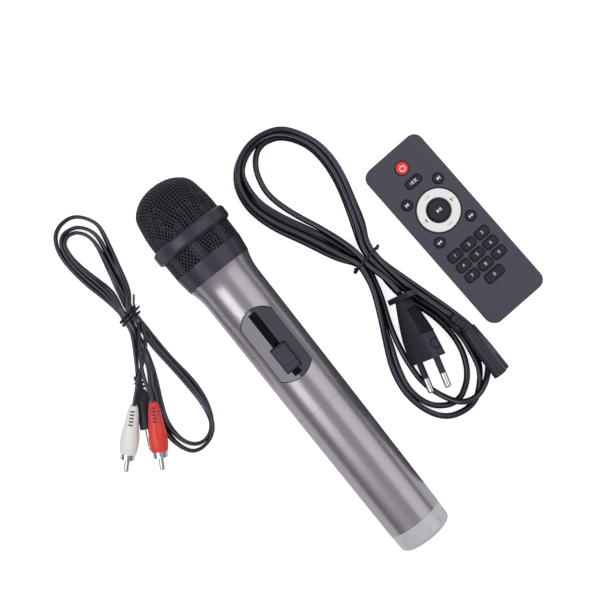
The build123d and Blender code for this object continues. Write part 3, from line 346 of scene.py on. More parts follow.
audio_lower_inner = [
    (-121.3, 58.5), (-119.6, 43.5), (-118.5, 26.5), (-119.4, 11.0), (-122.7, 0.5), (-127.6, -4.9),
    (-133.6, -6.1), (-138.8, -3.6), (-142.2, 1.8), (-143.7, 9.5), (-143.0, 18.3), (-139.6, 27.3),
    (-134.2, 38.2), (-127.9, 50.5)]
audio_left, audio_right = -123.4, -118.7
audio_neck_bottom, audio_neck_top = 75.0, 85.0
upper_tilts = [(0, 80), (2, 20), (3, 0), (8, 0), (10, 30), (12, 80)]
lower_tilts = [(0, 85), (3, 60), (5, 0), (8, 0), (11, 60), (13, 85)]
# Loops in the order from the jack plug: neck height on the left, upper pass, neck height on the
# right, lower pass.
audio_upper_passes = [
    ([(0, 0)], [(0, 4.4), (1, on_edge), (10, on_edge), (12, 3.4)]),
    ([(0, 0.5), (2, 0.5), (4, 0.36), (6, 0.30), (8, 0.38), (10, 0.5), (12, 0.5)],
     [(0, 3.0), (1, on_edge), (10, on_edge), (12, 2.4)]),
    ([(0, 1)], [(0, 1.8), (1, on_edge), (10, on_edge), (12, 5.0)])]
audio_lower_passes = [
    ([(0, 0.2), (2, 0), (4, 0.6), (5, 1), (10, 1), (12, 0.9), (13, 0.5)],
     [(0, 3.4), (2, 3.4), (4, 2.8), (5, on_edge), (9, on_edge), (11, 1.4), (13, 3.4)]),
    ([(0, 0.8), (2, 1), (4, 0.5), (5, 0), (10, 0), (12, 0.1), (13, 0.5)],
     [(0, on_floor), (3, on_floor), (5, on_edge), (9, on_edge), (11, on_floor), (13, on_floor)])]
audio_up_levels = [6.8, 4.6, 2.4]
audio_down_levels = [4.6, 2.4, 6.8]

jack_rear = (-139.3, 49.2, 4.5)
audio_route = [jack_rear, (-133.8, 57.4, 5.3), (-128.2, 65.4, 6.2), (-124.2, 72.0, 6.8)]
audio_tilts = [0, 0, 40, 80]
for turn, (weights, heights) in enumerate(audio_upper_passes):
    level = audio_up_levels[turn]
    if turn:
        audio_route += [(audio_left, audio_neck_bottom, level)]
        audio_tilts += [90]
    audio_route += [(audio_left, audio_neck_top, level)]
    audio_route += lobe(audio_upper_outer, audio_upper_inner, weights, heights)
    audio_tilts += [90] + tilts_of(upper_tilts, len(audio_upper_outer))
    level = audio_down_levels[turn]
    audio_route += [(audio_right, audio_neck_top, level)]
    audio_tilts += [90]
    if turn < len(audio_lower_passes):
        audio_route += [(audio_right, audio_neck_bottom, level)]
        audio_route += lobe(audio_lower_outer, audio_lower_inner, *audio_lower_passes[turn])
        audio_tilts += [90] + tilts_of(lower_tilts, len(audio_lower_outer))
split_point = (-118.85, 72.4, 7.2)
audio_route += [(audio_right, 78.6, 6.9), split_point]
audio_tilts += [90, 90]
core_radius, core_pitch, floor_gap = 1.12, 2.16, 0.06
audio_route = [(x, y, max(z, floor_gap + core_radius + core_pitch / 2 * abs(math.cos(math.radians(tilt)))))
               for (x, y, z), tilt in zip(audio_route, audio_tilts)]
audio_route.reverse()
audio_tilts.reverse()

audio_outline = figure_eight("audio_outline", core=core_radius, pitch=core_pitch)
audio_lead, audio_path = cord_mesh(
    "audio_lead", cord_line("audio_line", audio_route, audio_tilts), audio_outline)
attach(audio_lead, "set")
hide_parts("audio_cable_hank", "jack_plug_cord")
audio_lead.data.materials.append(sheath_black)

single_radius = 1.1
single_routes = {
    "white": [(-117.6, 72, 6.6), (-120.6, 64.2, 7.6), (-127.2, 56.6, 9.6), (-135.0, 50.2, 11.6),
              (-143.2, 43.6, 12.4), (-150.9, 36.6, 11.4)],
    "red": [(-120.1, 72, 7.8), (-124.2, 65.2, 9.8), (-129.4, 57.8, 13.0), (-134.4, 48.6, 15.0),
            (-137.8, 39.4, 14.8), (-140.5, 31.1, 13.8)]}
for colour, route in single_routes.items():
    single = cord_line(f"{colour}_core", route, steps=10)
    single.data.bevel_depth = MM * single_radius
    single.data.bevel_resolution = 3
    single.data.use_fill_caps = True
    single.data.materials.append(sheath_black)
    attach(single, "set")
    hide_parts(f"{colour}_plug_cord")
for outline in (mains_outline, audio_outline):
    bpy.data.objects.remove(outline)


# Twist ties: black coated wire. One turn holds the mains lead, with its ends tucked down at
# both sides, and two turns hold the audio lead, with the twisted ends standing out.
def wire(name, points, radius, swell=None):
    """A round wire along a smooth line, made into a mesh."""
    line = cord_line(name + "_line", points, steps=5)
    line.data.bevel_depth = MM * radius
    line.data.bevel_resolution = 3
    line.data.use_fill_caps = True
    for knot, share in zip(line.data.splines[0].points, swell or [1] * len(points)):
        knot.radius = share
    piece = bpy.data.objects.new(name, bpy.data.meshes.new_from_object(line))
    bpy.context.scene.collection.objects.link(piece)
    bpy.data.objects.remove(line)
    for face in piece.data.polygons:
        face.use_smooth = True
    return piece


mains_tie = wire("mains_twist_tie", [
    (1.0, 17.4, 1.6), (1.5, 17.7, 4.0), (2.1, 18.0, 8.6), (3.8, 18.4, 12.2), (7.4, 19.2, 12.9),
    (11.4, 19.9, 13.0), (14.8, 20.4, 12.9), (17.8, 20.8, 12.2), (19.2, 21.0, 8.6), (19.4, 21.0, 4.0),
    (18.2, 20.9, 1.2), (11.4, 19.9, 1.2), (4.0, 18.4, 1.2), (2.4, 18.2, 3.0), (1.9, 18.8, 6.0)],
    0.92, [1.3, 1.3, 1.15] + [1] * 12)
mains_stub = wire("mains_tie_end", [
    (18.6, 20.4, 11.4), (19.5, 20.9, 11.6), (20.4, 21.3, 11.0), (20.7, 21.5, 9.4)], 1.0)
turns, turn_points = 2, 14
tie_across, tie_tall, tie_middle = 6.2, 4.5, (-121.1, 79.0, 5.8)
audio_turns = []
for step in range(turns * turn_points + 4):
    angle = 2 * math.pi * step / turn_points
    squarish = 1 + 0.10 * math.cos(4 * angle)
    audio_turns.append((
        tie_middle[0] + tie_across * math.sin(angle) * squarish,
        tie_middle[1] - 2.0 + 2.3 * step / turn_points + 0.9 * math.sin(angle),
        tie_middle[2] + tie_tall * math.cos(angle) * squarish))
audio_tie = wire("audio_twist_tie", audio_turns, 0.75)
tail_points, tail_curl, curl_turn = 9, 0.7, 9
for number, (end, phase) in enumerate((((-110.6, 88.6, 8.4), 0.0), ((-112.4, 81.0, 7.0), math.pi))):
    start = Vector((-116.4, 80.6, 8.2))
    tail = []
    for step in range(tail_points):
        along = step / (tail_points - 1)
        middle = start.lerp(Vector(end), along)
        curl = tail_curl * (1 - along)
        tail.append((middle.x + curl * math.sin(curl_turn * along + phase), middle.y,
                     middle.z + curl * math.cos(curl_turn * along + phase)))
    piece = wire(f"audio_tie_end_{number + 1}", tail, 0.62)
    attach(piece, "set")
    piece.data.materials.append(sheath_black)
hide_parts("mains_tie")
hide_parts("audio_tie")
for piece in (mains_tie, mains_stub, audio_tie):
    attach(piece, "set")
    piece.data.materials.append(sheath_black)

# Moulded plug bodies: black PVC over-mouldings with a fine matt spark finish.
moulded_black = moulded("moulded_black_pvc", "28262f", "33313b", 0.42, 2600.0, 0.25, grain_detail=3.0,
                        spread=0)


def finish_nodes(material, *names):
    """Gives CAD pieces their finish."""
    for name in names:
        nodes[name].data.materials.clear()
        nodes[name].data.materials.append(material)


finish_nodes(moulded_black, "euro_plug_body", "c7_plug_body", "jack_grip")

# Thumb ribs of the two-pin plug: twelve moulded bars across its upper narrow side, and an oval finger
# mark between them and the pins. Both are in a darker, matter PVC than the body: painted shade on that side.
euro_rear, euro_front = Vector((13.1, -9.6, 12.6)), Vector((1.8, -49.3, 15.2))
euro_ahead = (euro_front - euro_rear).normalized()
euro_roll = math.radians(60)
euro_across = Vector((math.cos(euro_roll) * 0.962, -math.cos(euro_roll) * 0.274, math.sin(euro_roll)))
euro_across = (euro_across - euro_ahead * euro_across.dot(euro_ahead)).normalized()
euro_thin = euro_across.cross(euro_ahead)
euro_stations, euro_halves, euro_thicks = [9.0, 26.0, 41.3], [7.4, 14.0, 16.5], [5.6, 6.7, 6.85]
rib_count, rib_first, rib_pitch, rib_radius, rib_points = 12, 9.4, 1.46, 0.60, 9
rib_from, rib_to = -42, 95


def on_euro(station, degrees, proud):
    """A point on the plug's oval body, at an angle from its upper narrow side."""
    half = float(np.interp(station, euro_stations, euro_halves)) + proud
    thick = float(np.interp(station, euro_stations, euro_thicks)) + proud
    angle = math.radians(degrees)
    return (euro_rear + euro_ahead * station + euro_across * half * math.cos(angle)
            + euro_thin * thick * math.sin(angle))


# Darker than the plug body: painted shade on the ribbed side and in the finger mark.
rib_painted_shade = moulded("matt_rib_pvc_painted_shade", "0f0e13", "17161c", 0.62, 2600.0, grain_bump=0, spread=0)
rib_painted_shade.node_tree.nodes["Principled BSDF"].inputs["Specular IOR Level"].default_value = 0.20
for number in range(rib_count):
    station = rib_first + rib_pitch * number
    rib = wire(f"euro_thumb_rib_{number + 1}", [
        tuple(on_euro(station, rib_from + (rib_to - rib_from) * step / (rib_points - 1), -0.04))
        for step in range(rib_points)], rib_radius)
    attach(rib, "set")
    rib.data.materials.append(rib_painted_shade)
mark_place, mark_length, mark_lean, mark_reach, mark_rim, mark_points = 33.6, 6.2, -6, 24, 0.28, 14
finger_mark = wire("euro_finger_mark", [
    tuple(on_euro(mark_place + mark_length / 2 * math.cos(2 * math.pi * step / mark_points),
                  mark_lean + mark_reach * math.sin(2 * math.pi * step / mark_points), 0.02))
    for step in range(mark_points + 2)], mark_rim)
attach(finger_mark, "set")
finger_mark.data.materials.append(rib_painted_shade)


# Metal lead ends: nickel-plated brass pins, shells and tips, bright and nearly mirror smooth.
plated_brass = bpy.data.materials.new("nickel_plated_brass")
plated_brass.use_nodes = True
shader = plated_brass.node_tree.nodes["Principled BSDF"]
shader.inputs["Metallic"].default_value = 1.0
place = add(plated_brass, "TexCoord")
wear = add(plated_brass, "TexNoise", {"Vector": place.outputs["Object"], "Scale": 900.0, "Detail": 3.0})
polish = add(plated_brass, "MapRange", {0: wear.outputs[0], 3: 0.10, 4: 0.26})
tint = add(plated_brass, "MixRGB", {0: wear.outputs[0], 1: linear("d9d7d3"), 2: linear("efeeec")})
plated_brass.node_tree.links.new(polish.outputs[0], shader.inputs["Roughness"])
plated_brass.node_tree.links.new(tint.outputs[0], shader.inputs["Base Color"])
finish_nodes(plated_brass, "euro_plug_pins", "phono_plug_contacts", "jack_contact", "battery_contacts",
             "button_cell")

# Phono grips: soft moulded PVC, one white and one red, with a slight silk finish. Each has five
# short flex slots across the top and the underside of its tail, drawn as grey bars of painted shadow.
phono_ends = {"white": ((-150.9, 36.6, 11.4), (-180.6, 8.2, 4.5)),
              "red": ((-140.5, 31.1, 13.8), (-161.6, -4.2, 9.8))}
slot_half_length, slot_width, slot_pitch, slot_first, slot_count = 1.25, 0.9, 2.0, 3.0, 5

# Grey of the bars: painted shadow inside each flex slot.
slot_shade = moulded("slot_shadow_pvc", "403e45", "57555b", 0.6, 1500.0, grain_bump=0, gloss=clear_gloss,
                     spread=0)

for colour, pale, deep in (("white", "f3f2f0", "e6e5e2"), ("red", "f2473d", "dc2f28")):
    soft_pvc = bpy.data.materials.new(f"{colour}_moulded_pvc")
    soft_pvc.use_nodes = True
    shader = soft_pvc.node_tree.nodes["Principled BSDF"]
    shader.inputs["Roughness"].default_value = 0.34
    shader.inputs["Subsurface Weight"].default_value = 0.06
    shader.inputs["Subsurface Scale"].default_value = 0.002
    place = add(soft_pvc, "TexCoord")
    cloud = add(soft_pvc, "TexNoise", {"Vector": place.outputs["Object"], "Scale": 180.0, "Detail": 2.0})
    tint = add(soft_pvc, "MixRGB", {0: cloud.outputs[0], 1: linear(pale), 2: linear(deep)})
    grain = add(soft_pvc, "TexNoise", {"Vector": place.outputs["Object"], "Scale": 3000.0})
    bump = add(soft_pvc, "Bump", {"Height": grain.outputs[0], "Strength": 0.12, "Distance": 0.0001})
    soft_pvc.node_tree.links.new(tint.outputs[0], shader.inputs["Base Color"])
    soft_pvc.node_tree.links.new(bump.outputs[0], shader.inputs["Normal"])
    finish_nodes(soft_pvc, f"{colour}_plug_grip")

    rear, tip = (MM * Vector(end) for end in phono_ends[colour])
    ahead = (tip - rear).normalized()
    across = Vector((-ahead.y, ahead.x, 0)).normalized()
    upward = ahead.cross(across)
    bpy.ops.object.select_all(action="DESELECT")
    for number in range(slot_count):
        station = slot_first + slot_pitch * number
        above = rear + ahead * MM * station + upward * 0.02
        hit = nodes[f"{colour}_plug_grip"].ray_cast(above, -upward)[1]
        radius = (hit - rear - ahead * MM * station).length
        bpy.ops.mesh.primitive_torus_add(
            major_segments=36, minor_segments=8, major_radius=radius, minor_radius=MM * slot_width / 2)
        slot_shadow_bar = bpy.context.object
        half = MM * slot_half_length
        bpy.ops.object.mode_set(mode="EDIT")
        for side in (1, -1):
            bpy.ops.mesh.select_all(action="SELECT")
            bpy.ops.mesh.bisect(plane_co=(side * half, 0, 0), plane_no=(side, 0, 0), clear_outer=True,
                                use_fill=True)
        bpy.ops.object.mode_set(mode="OBJECT")
        turn = Matrix((across, upward, ahead)).transposed().to_4x4()
        slot_shadow_bar.data.transform(Matrix.Translation(rear + ahead * MM * station) @ turn)
        slot_shadow_bar.name = f"{colour}_grip_slot_shadow_{number + 1}"
        slot_shadow_bar.data.materials.append(slot_shade)
        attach(slot_shadow_bar, "set")

# Microphone tubes: drawn aluminium, sprayed in a mauve-grey metallic lacquer and left satin.
# The fine flake is drawn coarser than the real 0.05 mm, so that it shows at this size.
metallic_lacquer = moulded("mauve_metallic_lacquer", "a7a1aa", "bcb6bf", 0.275, 2400.0, 0.04, metallic=0.82,
                           gloss=clear_gloss, spread=0.025, cloud_scale=60.0, cloud_detail=3.0)
finish_nodes(metallic_lacquer, "upper_housing", "lower_sleeve")

# Tail cap: pale grey ABS with a matt silver spray. The collar and ring are the same ABS in a
# dark satin lacquer, smooth enough for the ring to show one light facet.
finish_nodes(moulded("silver_sprayed_abs", "c2c0c5", "d0ced3", 0.40, metallic=0.15, gloss=clear_gloss),
             "tail_cap")
finish_nodes(moulded("charcoal_lacquered_abs", "3a3842", "45434d", 0.30, metallic=0.25),
             "grille_collar", "grille_ring")

# Switch panel: smoke-black acrylic, moulded glossy, so the lamps show in it as clear bands. Its
# track is matt black, and its knob is satin ABS.
smoked_acrylic = moulded("smoked_acrylic", "32313c", "3a3945", 0.14, grain_scale=400.0, grain_bump=0.02,
                         gloss=linear("f4effa"))
tail_radius, cap_length, ring_radius, ring_flat = 17.4, 12.4, 25.0, 219.0
mic_length, set_width = 257.5, 173.6
mic_tilt = math.atan((ring_radius - tail_radius) / (ring_flat - cap_length))
mic_tail = Vector((ring_radius - set_width / 2, -mic_length * math.cos(mic_tilt) / 2,
                   tail_radius * math.cos(mic_tilt) - cap_length * math.sin(mic_tilt)))
mic_ahead = Vector((0, math.cos(mic_tilt), math.sin(mic_tilt)))
mic_up = Vector((0, -math.sin(mic_tilt), math.cos(mic_tilt)))
# Its face is ground to two flats that meet along the track: the left one leans 16 degrees to the
# left and takes the lamp, the right one lies level and stays dark. The relief cuts them in the gloss.
panel_curve, left_lean, flatness, panel_ior = 0.01785, 0.28, 0.8, 1.95
smoked_acrylic.node_tree.nodes["Principled BSDF"].inputs["IOR"].default_value = panel_ior
place = add(smoked_acrylic, "TexCoord")
apart = add(smoked_acrylic, "SeparateXYZ", {0: place.outputs["Object"]})
across = add(smoked_acrylic, "Math", {0: apart.outputs["X"], 1: -MM * mic_tail[0]}, operation="ADD")
sine = add(smoked_acrylic, "Math", {0: across.outputs[0], 1: panel_curve}, operation="DIVIDE")
turn = add(smoked_acrylic, "Math", {0: sine.outputs[0]}, operation="ARCSINE")
rise = add(smoked_acrylic, "Math", {0: turn.outputs[0], 1: turn.outputs[0]}, operation="MULTIPLY")
rise = add(smoked_acrylic, "Math", {0: rise.outputs[0], 1: flatness / 2}, operation="MULTIPLY")
left_turn = add(smoked_acrylic, "Math", {0: turn.outputs[0], 1: 0.0}, operation="MINIMUM")
tipped = add(smoked_acrylic, "Math", {0: left_turn.outputs[0], 1: left_lean, 2: rise.outputs[0]},
             operation="MULTIPLY_ADD")
relief = add(smoked_acrylic, "Math", {0: tipped.outputs[0], 1: panel_curve}, operation="MULTIPLY")
flats = add(smoked_acrylic, "Bump", {"Height": relief.outputs[0], "Strength": 1.0, "Distance": 1.0})
smoked_acrylic.node_tree.links.new(
    flats.outputs[0], smoked_acrylic.node_tree.nodes["Principled BSDF"].inputs["Normal"])
finish_nodes(smoked_acrylic, "switch_panel")
finish_nodes(moulded("knob_abs", "3d3b45", "454350", 0.36), "switch_knob")

# Track lining: black flock film on the floor of the panel's track, 0.1 mm thick, cut out round
# the slot that the knob's stem slides in.
def merged(pieces):
    """The pieces as one object."""
    bpy.ops.object.select_all(action="DESELECT")
    for piece in pieces:
        piece.select_set(True)
    bpy.context.view_layer.objects.active = pieces[0]
    if len(pieces) > 1:
        bpy.ops.object.join()
    return bpy.context.object


def thicken(height):
    """Extrudes the flat shape in edit mode by a height in mm, and goes back to object mode."""
    bpy.ops.mesh.select_all(action="SELECT")
    bpy.ops.mesh.extrude_region_move(TRANSFORM_OT_translate={"value": (0, 0, MM * height)})
    bpy.ops.mesh.select_all(action="SELECT")
    bpy.ops.mesh.normals_make_consistent(inside=False)
    bpy.ops.object.mode_set(mode="OBJECT")


track_width, track_length, track_middle, track_floor = 4.8, 43.2, 143.45, 17.31
opening_width, opening_length, opening_middle, lining = 2.3, 12.3, 137.7, 0.1
panel_frame = Matrix((Vector((-1, 0, 0)), mic_ahead, mic_up)).transposed().to_4x4()
strips = []
for side, near, far in ((0, track_middle - track_length / 2, opening_middle - opening_length / 2),
                        (0, opening_middle + opening_length / 2, track_middle + track_length / 2),
                        (-1, opening_middle - opening_length / 2, opening_middle + opening_length / 2),
                        (1, opening_middle - opening_length / 2, opening_middle + opening_length / 2)):
    edge = (track_width - opening_width) / 2
    wide = edge if side else track_width
    bpy.ops.object.select_all(action="DESELECT")
    bpy.ops.mesh.primitive_plane_add(size=1)
    strip = bpy.context.object
    strip.data.transform(Matrix.Translation((MM * side * (track_width - edge) / 2, MM * (near + far) / 2, 0))
                         @ Matrix.Diagonal((MM * wide, MM * (far - near), 1, 1)))
    strips.append(strip)
track_lining = merged(strips)
bpy.ops.object.mode_set(mode="EDIT")
bpy.ops.mesh.select_all(action="SELECT")
bpy.ops.mesh.remove_doubles(threshold=MM * 0.01)
thicken(lining)
track_lining.data.transform(Matrix.Translation(MM * (mic_tail + mic_up * track_floor)) @ panel_frame)
track_lining.name = "track_lining"
black_flock = moulded("black_flock_film", "121117", "1a191f", 0.95)
black_flock.node_tree.nodes["Principled BSDF"].inputs["Specular IOR Level"].default_value = 0.05
track_lining.data.materials.append(black_flock)
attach(track_lining, "set")

# Panel seal and knob shadow rim: two closed loops of soft black rubber cord. The seal fills the seam
# round the switch panel. The rim runs round the foot of the knob, slides with it, and paints its shadow.
seal_radius, knob_shadow_radius, knob_shadow_gap = 0.25, 0.44, 0.06
panel_low, panel_high, panel_half, tail_arch, head_arch = 119.4, 167.5, 10.88, 4.4, 6.6
knob_low, knob_high, knob_middle, knob_half, knob_round = 125.6, 141.8, 133.7, 4.7, 1.0
side_low, side_high = 136.0, 150.0


def on_panel(across, station, proud):
    """A point over the switch panel's curved face, in millimetres."""
    radius = 1000 * panel_curve + proud
    return tuple(mic_tail + mic_ahead * station + Vector((across, 0, 0))
                 + mic_up * math.sqrt(radius ** 2 - across ** 2))


arch = [panel_half * step / 4 for step in range(-4, 5)]
seal_line = [(x, panel_low + tail_arch * (x / panel_half) ** 2) for x in arch]
seal_line = [seal_line[0]] + seal_line + [seal_line[-1]] + [(panel_half, side_low), (panel_half, side_high)]
head_line = [(x, panel_high - head_arch * (x / panel_half) ** 2) for x in reversed(arch)]
seal_line += [head_line[0]] + head_line + [head_line[-1]]
seal_line += [(-panel_half, side_high), (-panel_half, side_low)]
seal_line += seal_line[:1]
panel_seal = wire("panel_seal", [on_panel(x, station, 0.05) for x, station in seal_line], seal_radius)
knob_shadow_line = []
for x_side, end, inner in ((-1, knob_low, 1), (1, knob_low, 1), (1, knob_high, -1), (-1, knob_high, -1)):
    corner = [(x_side * knob_half, end + inner * knob_round), (x_side * knob_half, end),
              (x_side * (knob_half - knob_round), end)]
    knob_shadow_line += corner if x_side * inner < 0 else corner[::-1]
    knob_shadow_line += [(0, end)] if (x_side, inner) in ((-1, 1), (1, -1)) else [(x_side * knob_half, knob_middle)]
knob_shadow_line += knob_shadow_line[:2]
# Black loop round the knob's foot: painted shadow under the knob's edge.
knob_shadow_rim = wire("knob_shadow_rim", [on_panel(x, station, knob_shadow_radius + knob_shadow_gap) for x, station in knob_shadow_line],
                  knob_shadow_radius)
# Black rubber for the seal, and for the knob's painted shadow rim.
seal_and_shadow_rubber = moulded("soft_black_rubber_and_painted_shadow", "101014", "17161b", 0.7)
for piece, body, slot in ((panel_seal, "set", "panel_gloss"), (knob_shadow_rim, "knob", "knob_plastic")):
    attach(piece, body)
    piece.data.materials.append(seal_and_shadow_rubber)

# Inside the tubes: dark ABS carriers, glass-fibre boards under green mask, two cells in a printed
# film sleeve and the capsule in its aluminium can.
finish_nodes(moulded("carrier_abs", "26252b", "2e2d34", 0.5),
             "slide_switch", "battery_cradle", "antenna", "cell_tray", "capsule_mount")
finish_nodes(moulded("green_mask_laminate", "1d5537", "266648", 0.35, grain_scale=700.0, grain_bump=0.05),
             "mic_circuit_board", "remote_circuit_board")
finish_nodes(moulded("cell_film_sleeve", "55688a", "6b7fa0", 0.28, grain_scale=300.0, grain_bump=0.02),
             "batteries")
finish_nodes(moulded("drawn_aluminium_can", "a9a8ab", "bab9bc", 0.35, metallic=0.95), "capsule")
finish_nodes(moulded("silicone_rubber", "6d6b70", "7a787d", 0.6), "key_membrane")
finish_nodes(moulded("dark_lens_acrylic", "1a0d14", "241019", 0.08, grain_bump=0.01), "infrared_led")

# Windscreen foam: open-cell polyurethane behind the wire, nearly black. Its pores are 0.6 mm wide.
open_foam = moulded("open_cell_foam", "09080b", "141318", 0.9)
place = add(open_foam, "TexCoord")
pores = add(open_foam, "TexVoronoi", {"Vector": place.outputs["Object"], "Scale": 1700.0})
relief = add(open_foam, "Bump", {"Height": pores.outputs[0], "Strength": 0.8, "Distance": 0.0004})
open_foam.node_tree.links.new(
    relief.outputs[0], open_foam.node_tree.nodes["Principled BSDF"].inputs["Normal"])
finish_nodes(open_foam, "foam_liner")

# Grille: plain-weave steel wire, 0.6 mm thick at a 2 mm pitch, painted black. A flat square net is
# pressed over the dome, so its cells stay square along four lines and lean over between them.
dome_radius, dome_base, dome_height = 22.8, 221.45, 36.05
dome_shape = [(1.0, 0.0), (0.905, 0.60), (0.772, 0.838), (0.50, 0.956), (0.0, 1.0)]
skirt_start, skirt_foot = 206.1, 22.5
net_pitch, wire_radius, weave_lift, wire_inset = 2.0, 0.30, 0.22, 0.54
net_turn, net_reach, shear_stiffness, settling_steps, steps_per_span = math.radians(20), 80.0, 0.10, 400, 12
kept_speed, pull = 0.9, 0.18

knots = [np.array((dome_base + tall * (dome_height - wire_inset), wide * (dome_radius - wire_inset)))
         for tall, wide in dome_shape]
spans = [np.linalg.norm(after - before) for before, after in zip(knots, knots[1:])]
slopes = [np.array((0.0, 1.0))]
for number in range(1, len(knots) - 1):
    before = (knots[number] - knots[number - 1]) / spans[number - 1]
    after = (knots[number + 1] - knots[number]) / spans[number]
    slopes.append((before * spans[number] + after * spans[number - 1]) / (spans[number] + spans[number - 1]))
slopes.append(np.array((-1.0, 0.0)))
section = []
for number, span in enumerate(spans):
    for step in range(steps_per_span):
        t = step / steps_per_span
        section.append((2 * t ** 3 - 3 * t ** 2 + 1) * knots[number]
                       + (t ** 3 - 2 * t ** 2 + t) * span * slopes[number]
                       + (3 * t ** 2 - 2 * t ** 3) * knots[number + 1]
                       + (t ** 3 - t ** 2) * span * slopes[number + 1])
section = np.array(section + [knots[-1]])
lengths = np.concatenate(([0.0], np.cumsum(np.linalg.norm(np.diff(section, axis=0), axis=1))))
section_angle = np.arctan2(section[:, 1], section[:, 0] - dome_base)
section_size = np.hypot(section[:, 1], section[:, 0] - dome_base)


def pressed(points):
    """The points moved onto the wire's middle surface: the dome, and the skirt below it."""
    radius = np.hypot(points[..., 0], points[..., 1]) + 1e-9
    height = points[..., 2] - dome_base
    angle = np.arctan2(radius, np.maximum(height, 0))
    size = np.interp(angle, section_angle, section_size)
    taper = (dome_radius - skirt_foot) / (dome_base - skirt_start)
    new_radius = np.where(height > 0, size * np.sin(angle), dome_radius - wire_inset + height * taper)
    new_height = np.where(height > 0, size * np.cos(angle), height)
    return np.stack((points[..., 0] * new_radius / radius, points[..., 1] * new_radius / radius,
                     new_height + dome_base), axis=-1)


half_count = int(net_reach / net_pitch)
count = 2 * half_count + 1
column, row = np.meshgrid(np.arange(-half_count, half_count + 1), np.arange(-half_count, half_count + 1),
                          indexing="ij")
along, angle = net_pitch * np.hypot(column, row), np.arctan2(row, column)
in_net = along <= net_reach
net = np.stack((np.interp(along, lengths, section[:, 1]) * np.cos(angle),
                np.interp(along, lengths, section[:, 1]) * np.sin(angle),
                np.interp(along, lengths, section[:, 0]) - np.maximum(along - lengths[-1], 0)), axis=-1)
net = pressed(net)
speed = np.zeros_like(net)
links = [(1, 0, net_pitch, 1.0), (0, 1, net_pitch, 1.0),
         (1, 1, net_pitch * math.sqrt(2), shear_stiffness),
         (1, -1, net_pitch * math.sqrt(2), shear_stiffness)]
for _ in range(settling_steps):
    force = np.zeros_like(net)
    for right, up, rest, stiffness in links:
        near = (slice(0, count - right), slice(max(0, -up), count - max(0, up)))
        far = (slice(right, count), slice(max(0, up), count + min(0, up)))
        gap = net[far] - net[near]
        length = np.linalg.norm(gap, axis=-1, keepdims=True) + 1e-9
        joined = (in_net[near] & in_net[far])[..., None]
        push = stiffness * (length - rest) / length * gap * joined
        force[near] += push
        force[far] -= push
    speed = kept_speed * speed + pull * force
    net = pressed(net + speed)

outward = np.cross(np.gradient(net, axis=0), np.gradient(net, axis=1))
outward /= np.linalg.norm(outward, axis=-1, keepdims=True) + 1e-9
outward *= np.sign((outward * np.stack((net[..., 0], net[..., 1], net[..., 2] - dome_base + 20), axis=-1)
                    ).sum(axis=-1, keepdims=True))
weave = ((-1.0) ** (column + row))[..., None] * weave_lift
north = mic_up * math.cos(net_turn) + Vector((1, 0, 0)) * math.sin(net_turn)
east = Vector((1, 0, 0)) * math.cos(net_turn) - mic_up * math.sin(net_turn)
wires = bpy.data.curves.new("grille_mesh", "CURVE")
wires.dimensions = "3D"
wires.bevel_depth = MM * wire_radius
wires.bevel_resolution = 1
wires.use_fill_caps = True
for over, transposed in ((net + weave * outward, False), (net - weave * outward, True)):
    if transposed:
        over = over.transpose(1, 0, 2)
    covered = in_net.T if transposed else in_net
    for line, held in zip(over, covered):
        shown = held & (line[:, 2] > skirt_start + wire_radius)
        edges = np.flatnonzero(np.diff(np.concatenate(([0], shown.astype(int), [0]))))
        for first, last in zip(edges[::2], edges[1::2]):
            if last - first < 2:
                continue
            strand = [line[number] for number in range(first, last)]
            for end, beyond in ((0, first - 1), (-1, last)):
                if 0 <= beyond < count and held[beyond]:
                    inner, outer = strand[end], line[beyond]
                    share = (inner[2] - skirt_start - 0.2) / (inner[2] - outer[2])
                    strand.insert(0 if end == 0 else len(strand), inner + (outer - inner) * share)
            wire_line = wires.splines.new("POLY")
            wire_line.points.add(len(strand) - 1)
            for point, (x, y, station) in zip(wire_line.points, strand):
                where = MM * (mic_tail + mic_ahead * station + north * x + east * y)
                point.co = (*where, 1)
grille_mesh = bpy.data.objects.new("grille_mesh", wires)
bpy.context.scene.collection.objects.link(grille_mesh)
bpy.ops.object.select_all(action="DESELECT")
grille_mesh.select_set(True)
bpy.context.view_layer.objects.active = grille_mesh
bpy.ops.object.convert(target="MESH")
grille_mesh = bpy.context.object
grille_mesh.data.materials.clear()
grille_mesh.data.materials.append(moulded("black_coated_steel_wire", "3a3842", "4b4953", 0.36, metallic=0.35))
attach(grille_mesh, "grille_head")
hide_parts("grille_dome", "grille_skirt")

# Remote control: two charcoal ABS shells with a fine spark grain, and keys that come up through
# the plate. The round keys and the long ones are darker, the power key is red and the ring white.
finish_nodes(moulded("charcoal_spark_abs", "46444f", "4f4d59", 0.42, grain_bump=0.3),
             "remote_top_shell", "remote_bottom_shell")
dark_keys = ["mute_key", "play_key"]
dark_keys += [f"{side}_{level}_key" for side in ("left", "right") for level in ("upper", "lower")]
dark_keys += [f"digit_{number}_key" for number in range(10)]
finish_nodes(moulded("dark_key_abs", "232229", "2c2a32", 0.38), *dark_keys)
finish_nodes(moulded("red_key_abs", "e0332c", "ef4038", 0.34, gloss=clear_gloss), "power_key")
finish_nodes(moulded("white_key_abs", "f1f1f0", "f8f8f7", 0.34, grain_bump=0.06, gloss=clear_gloss),
             "ring_key")

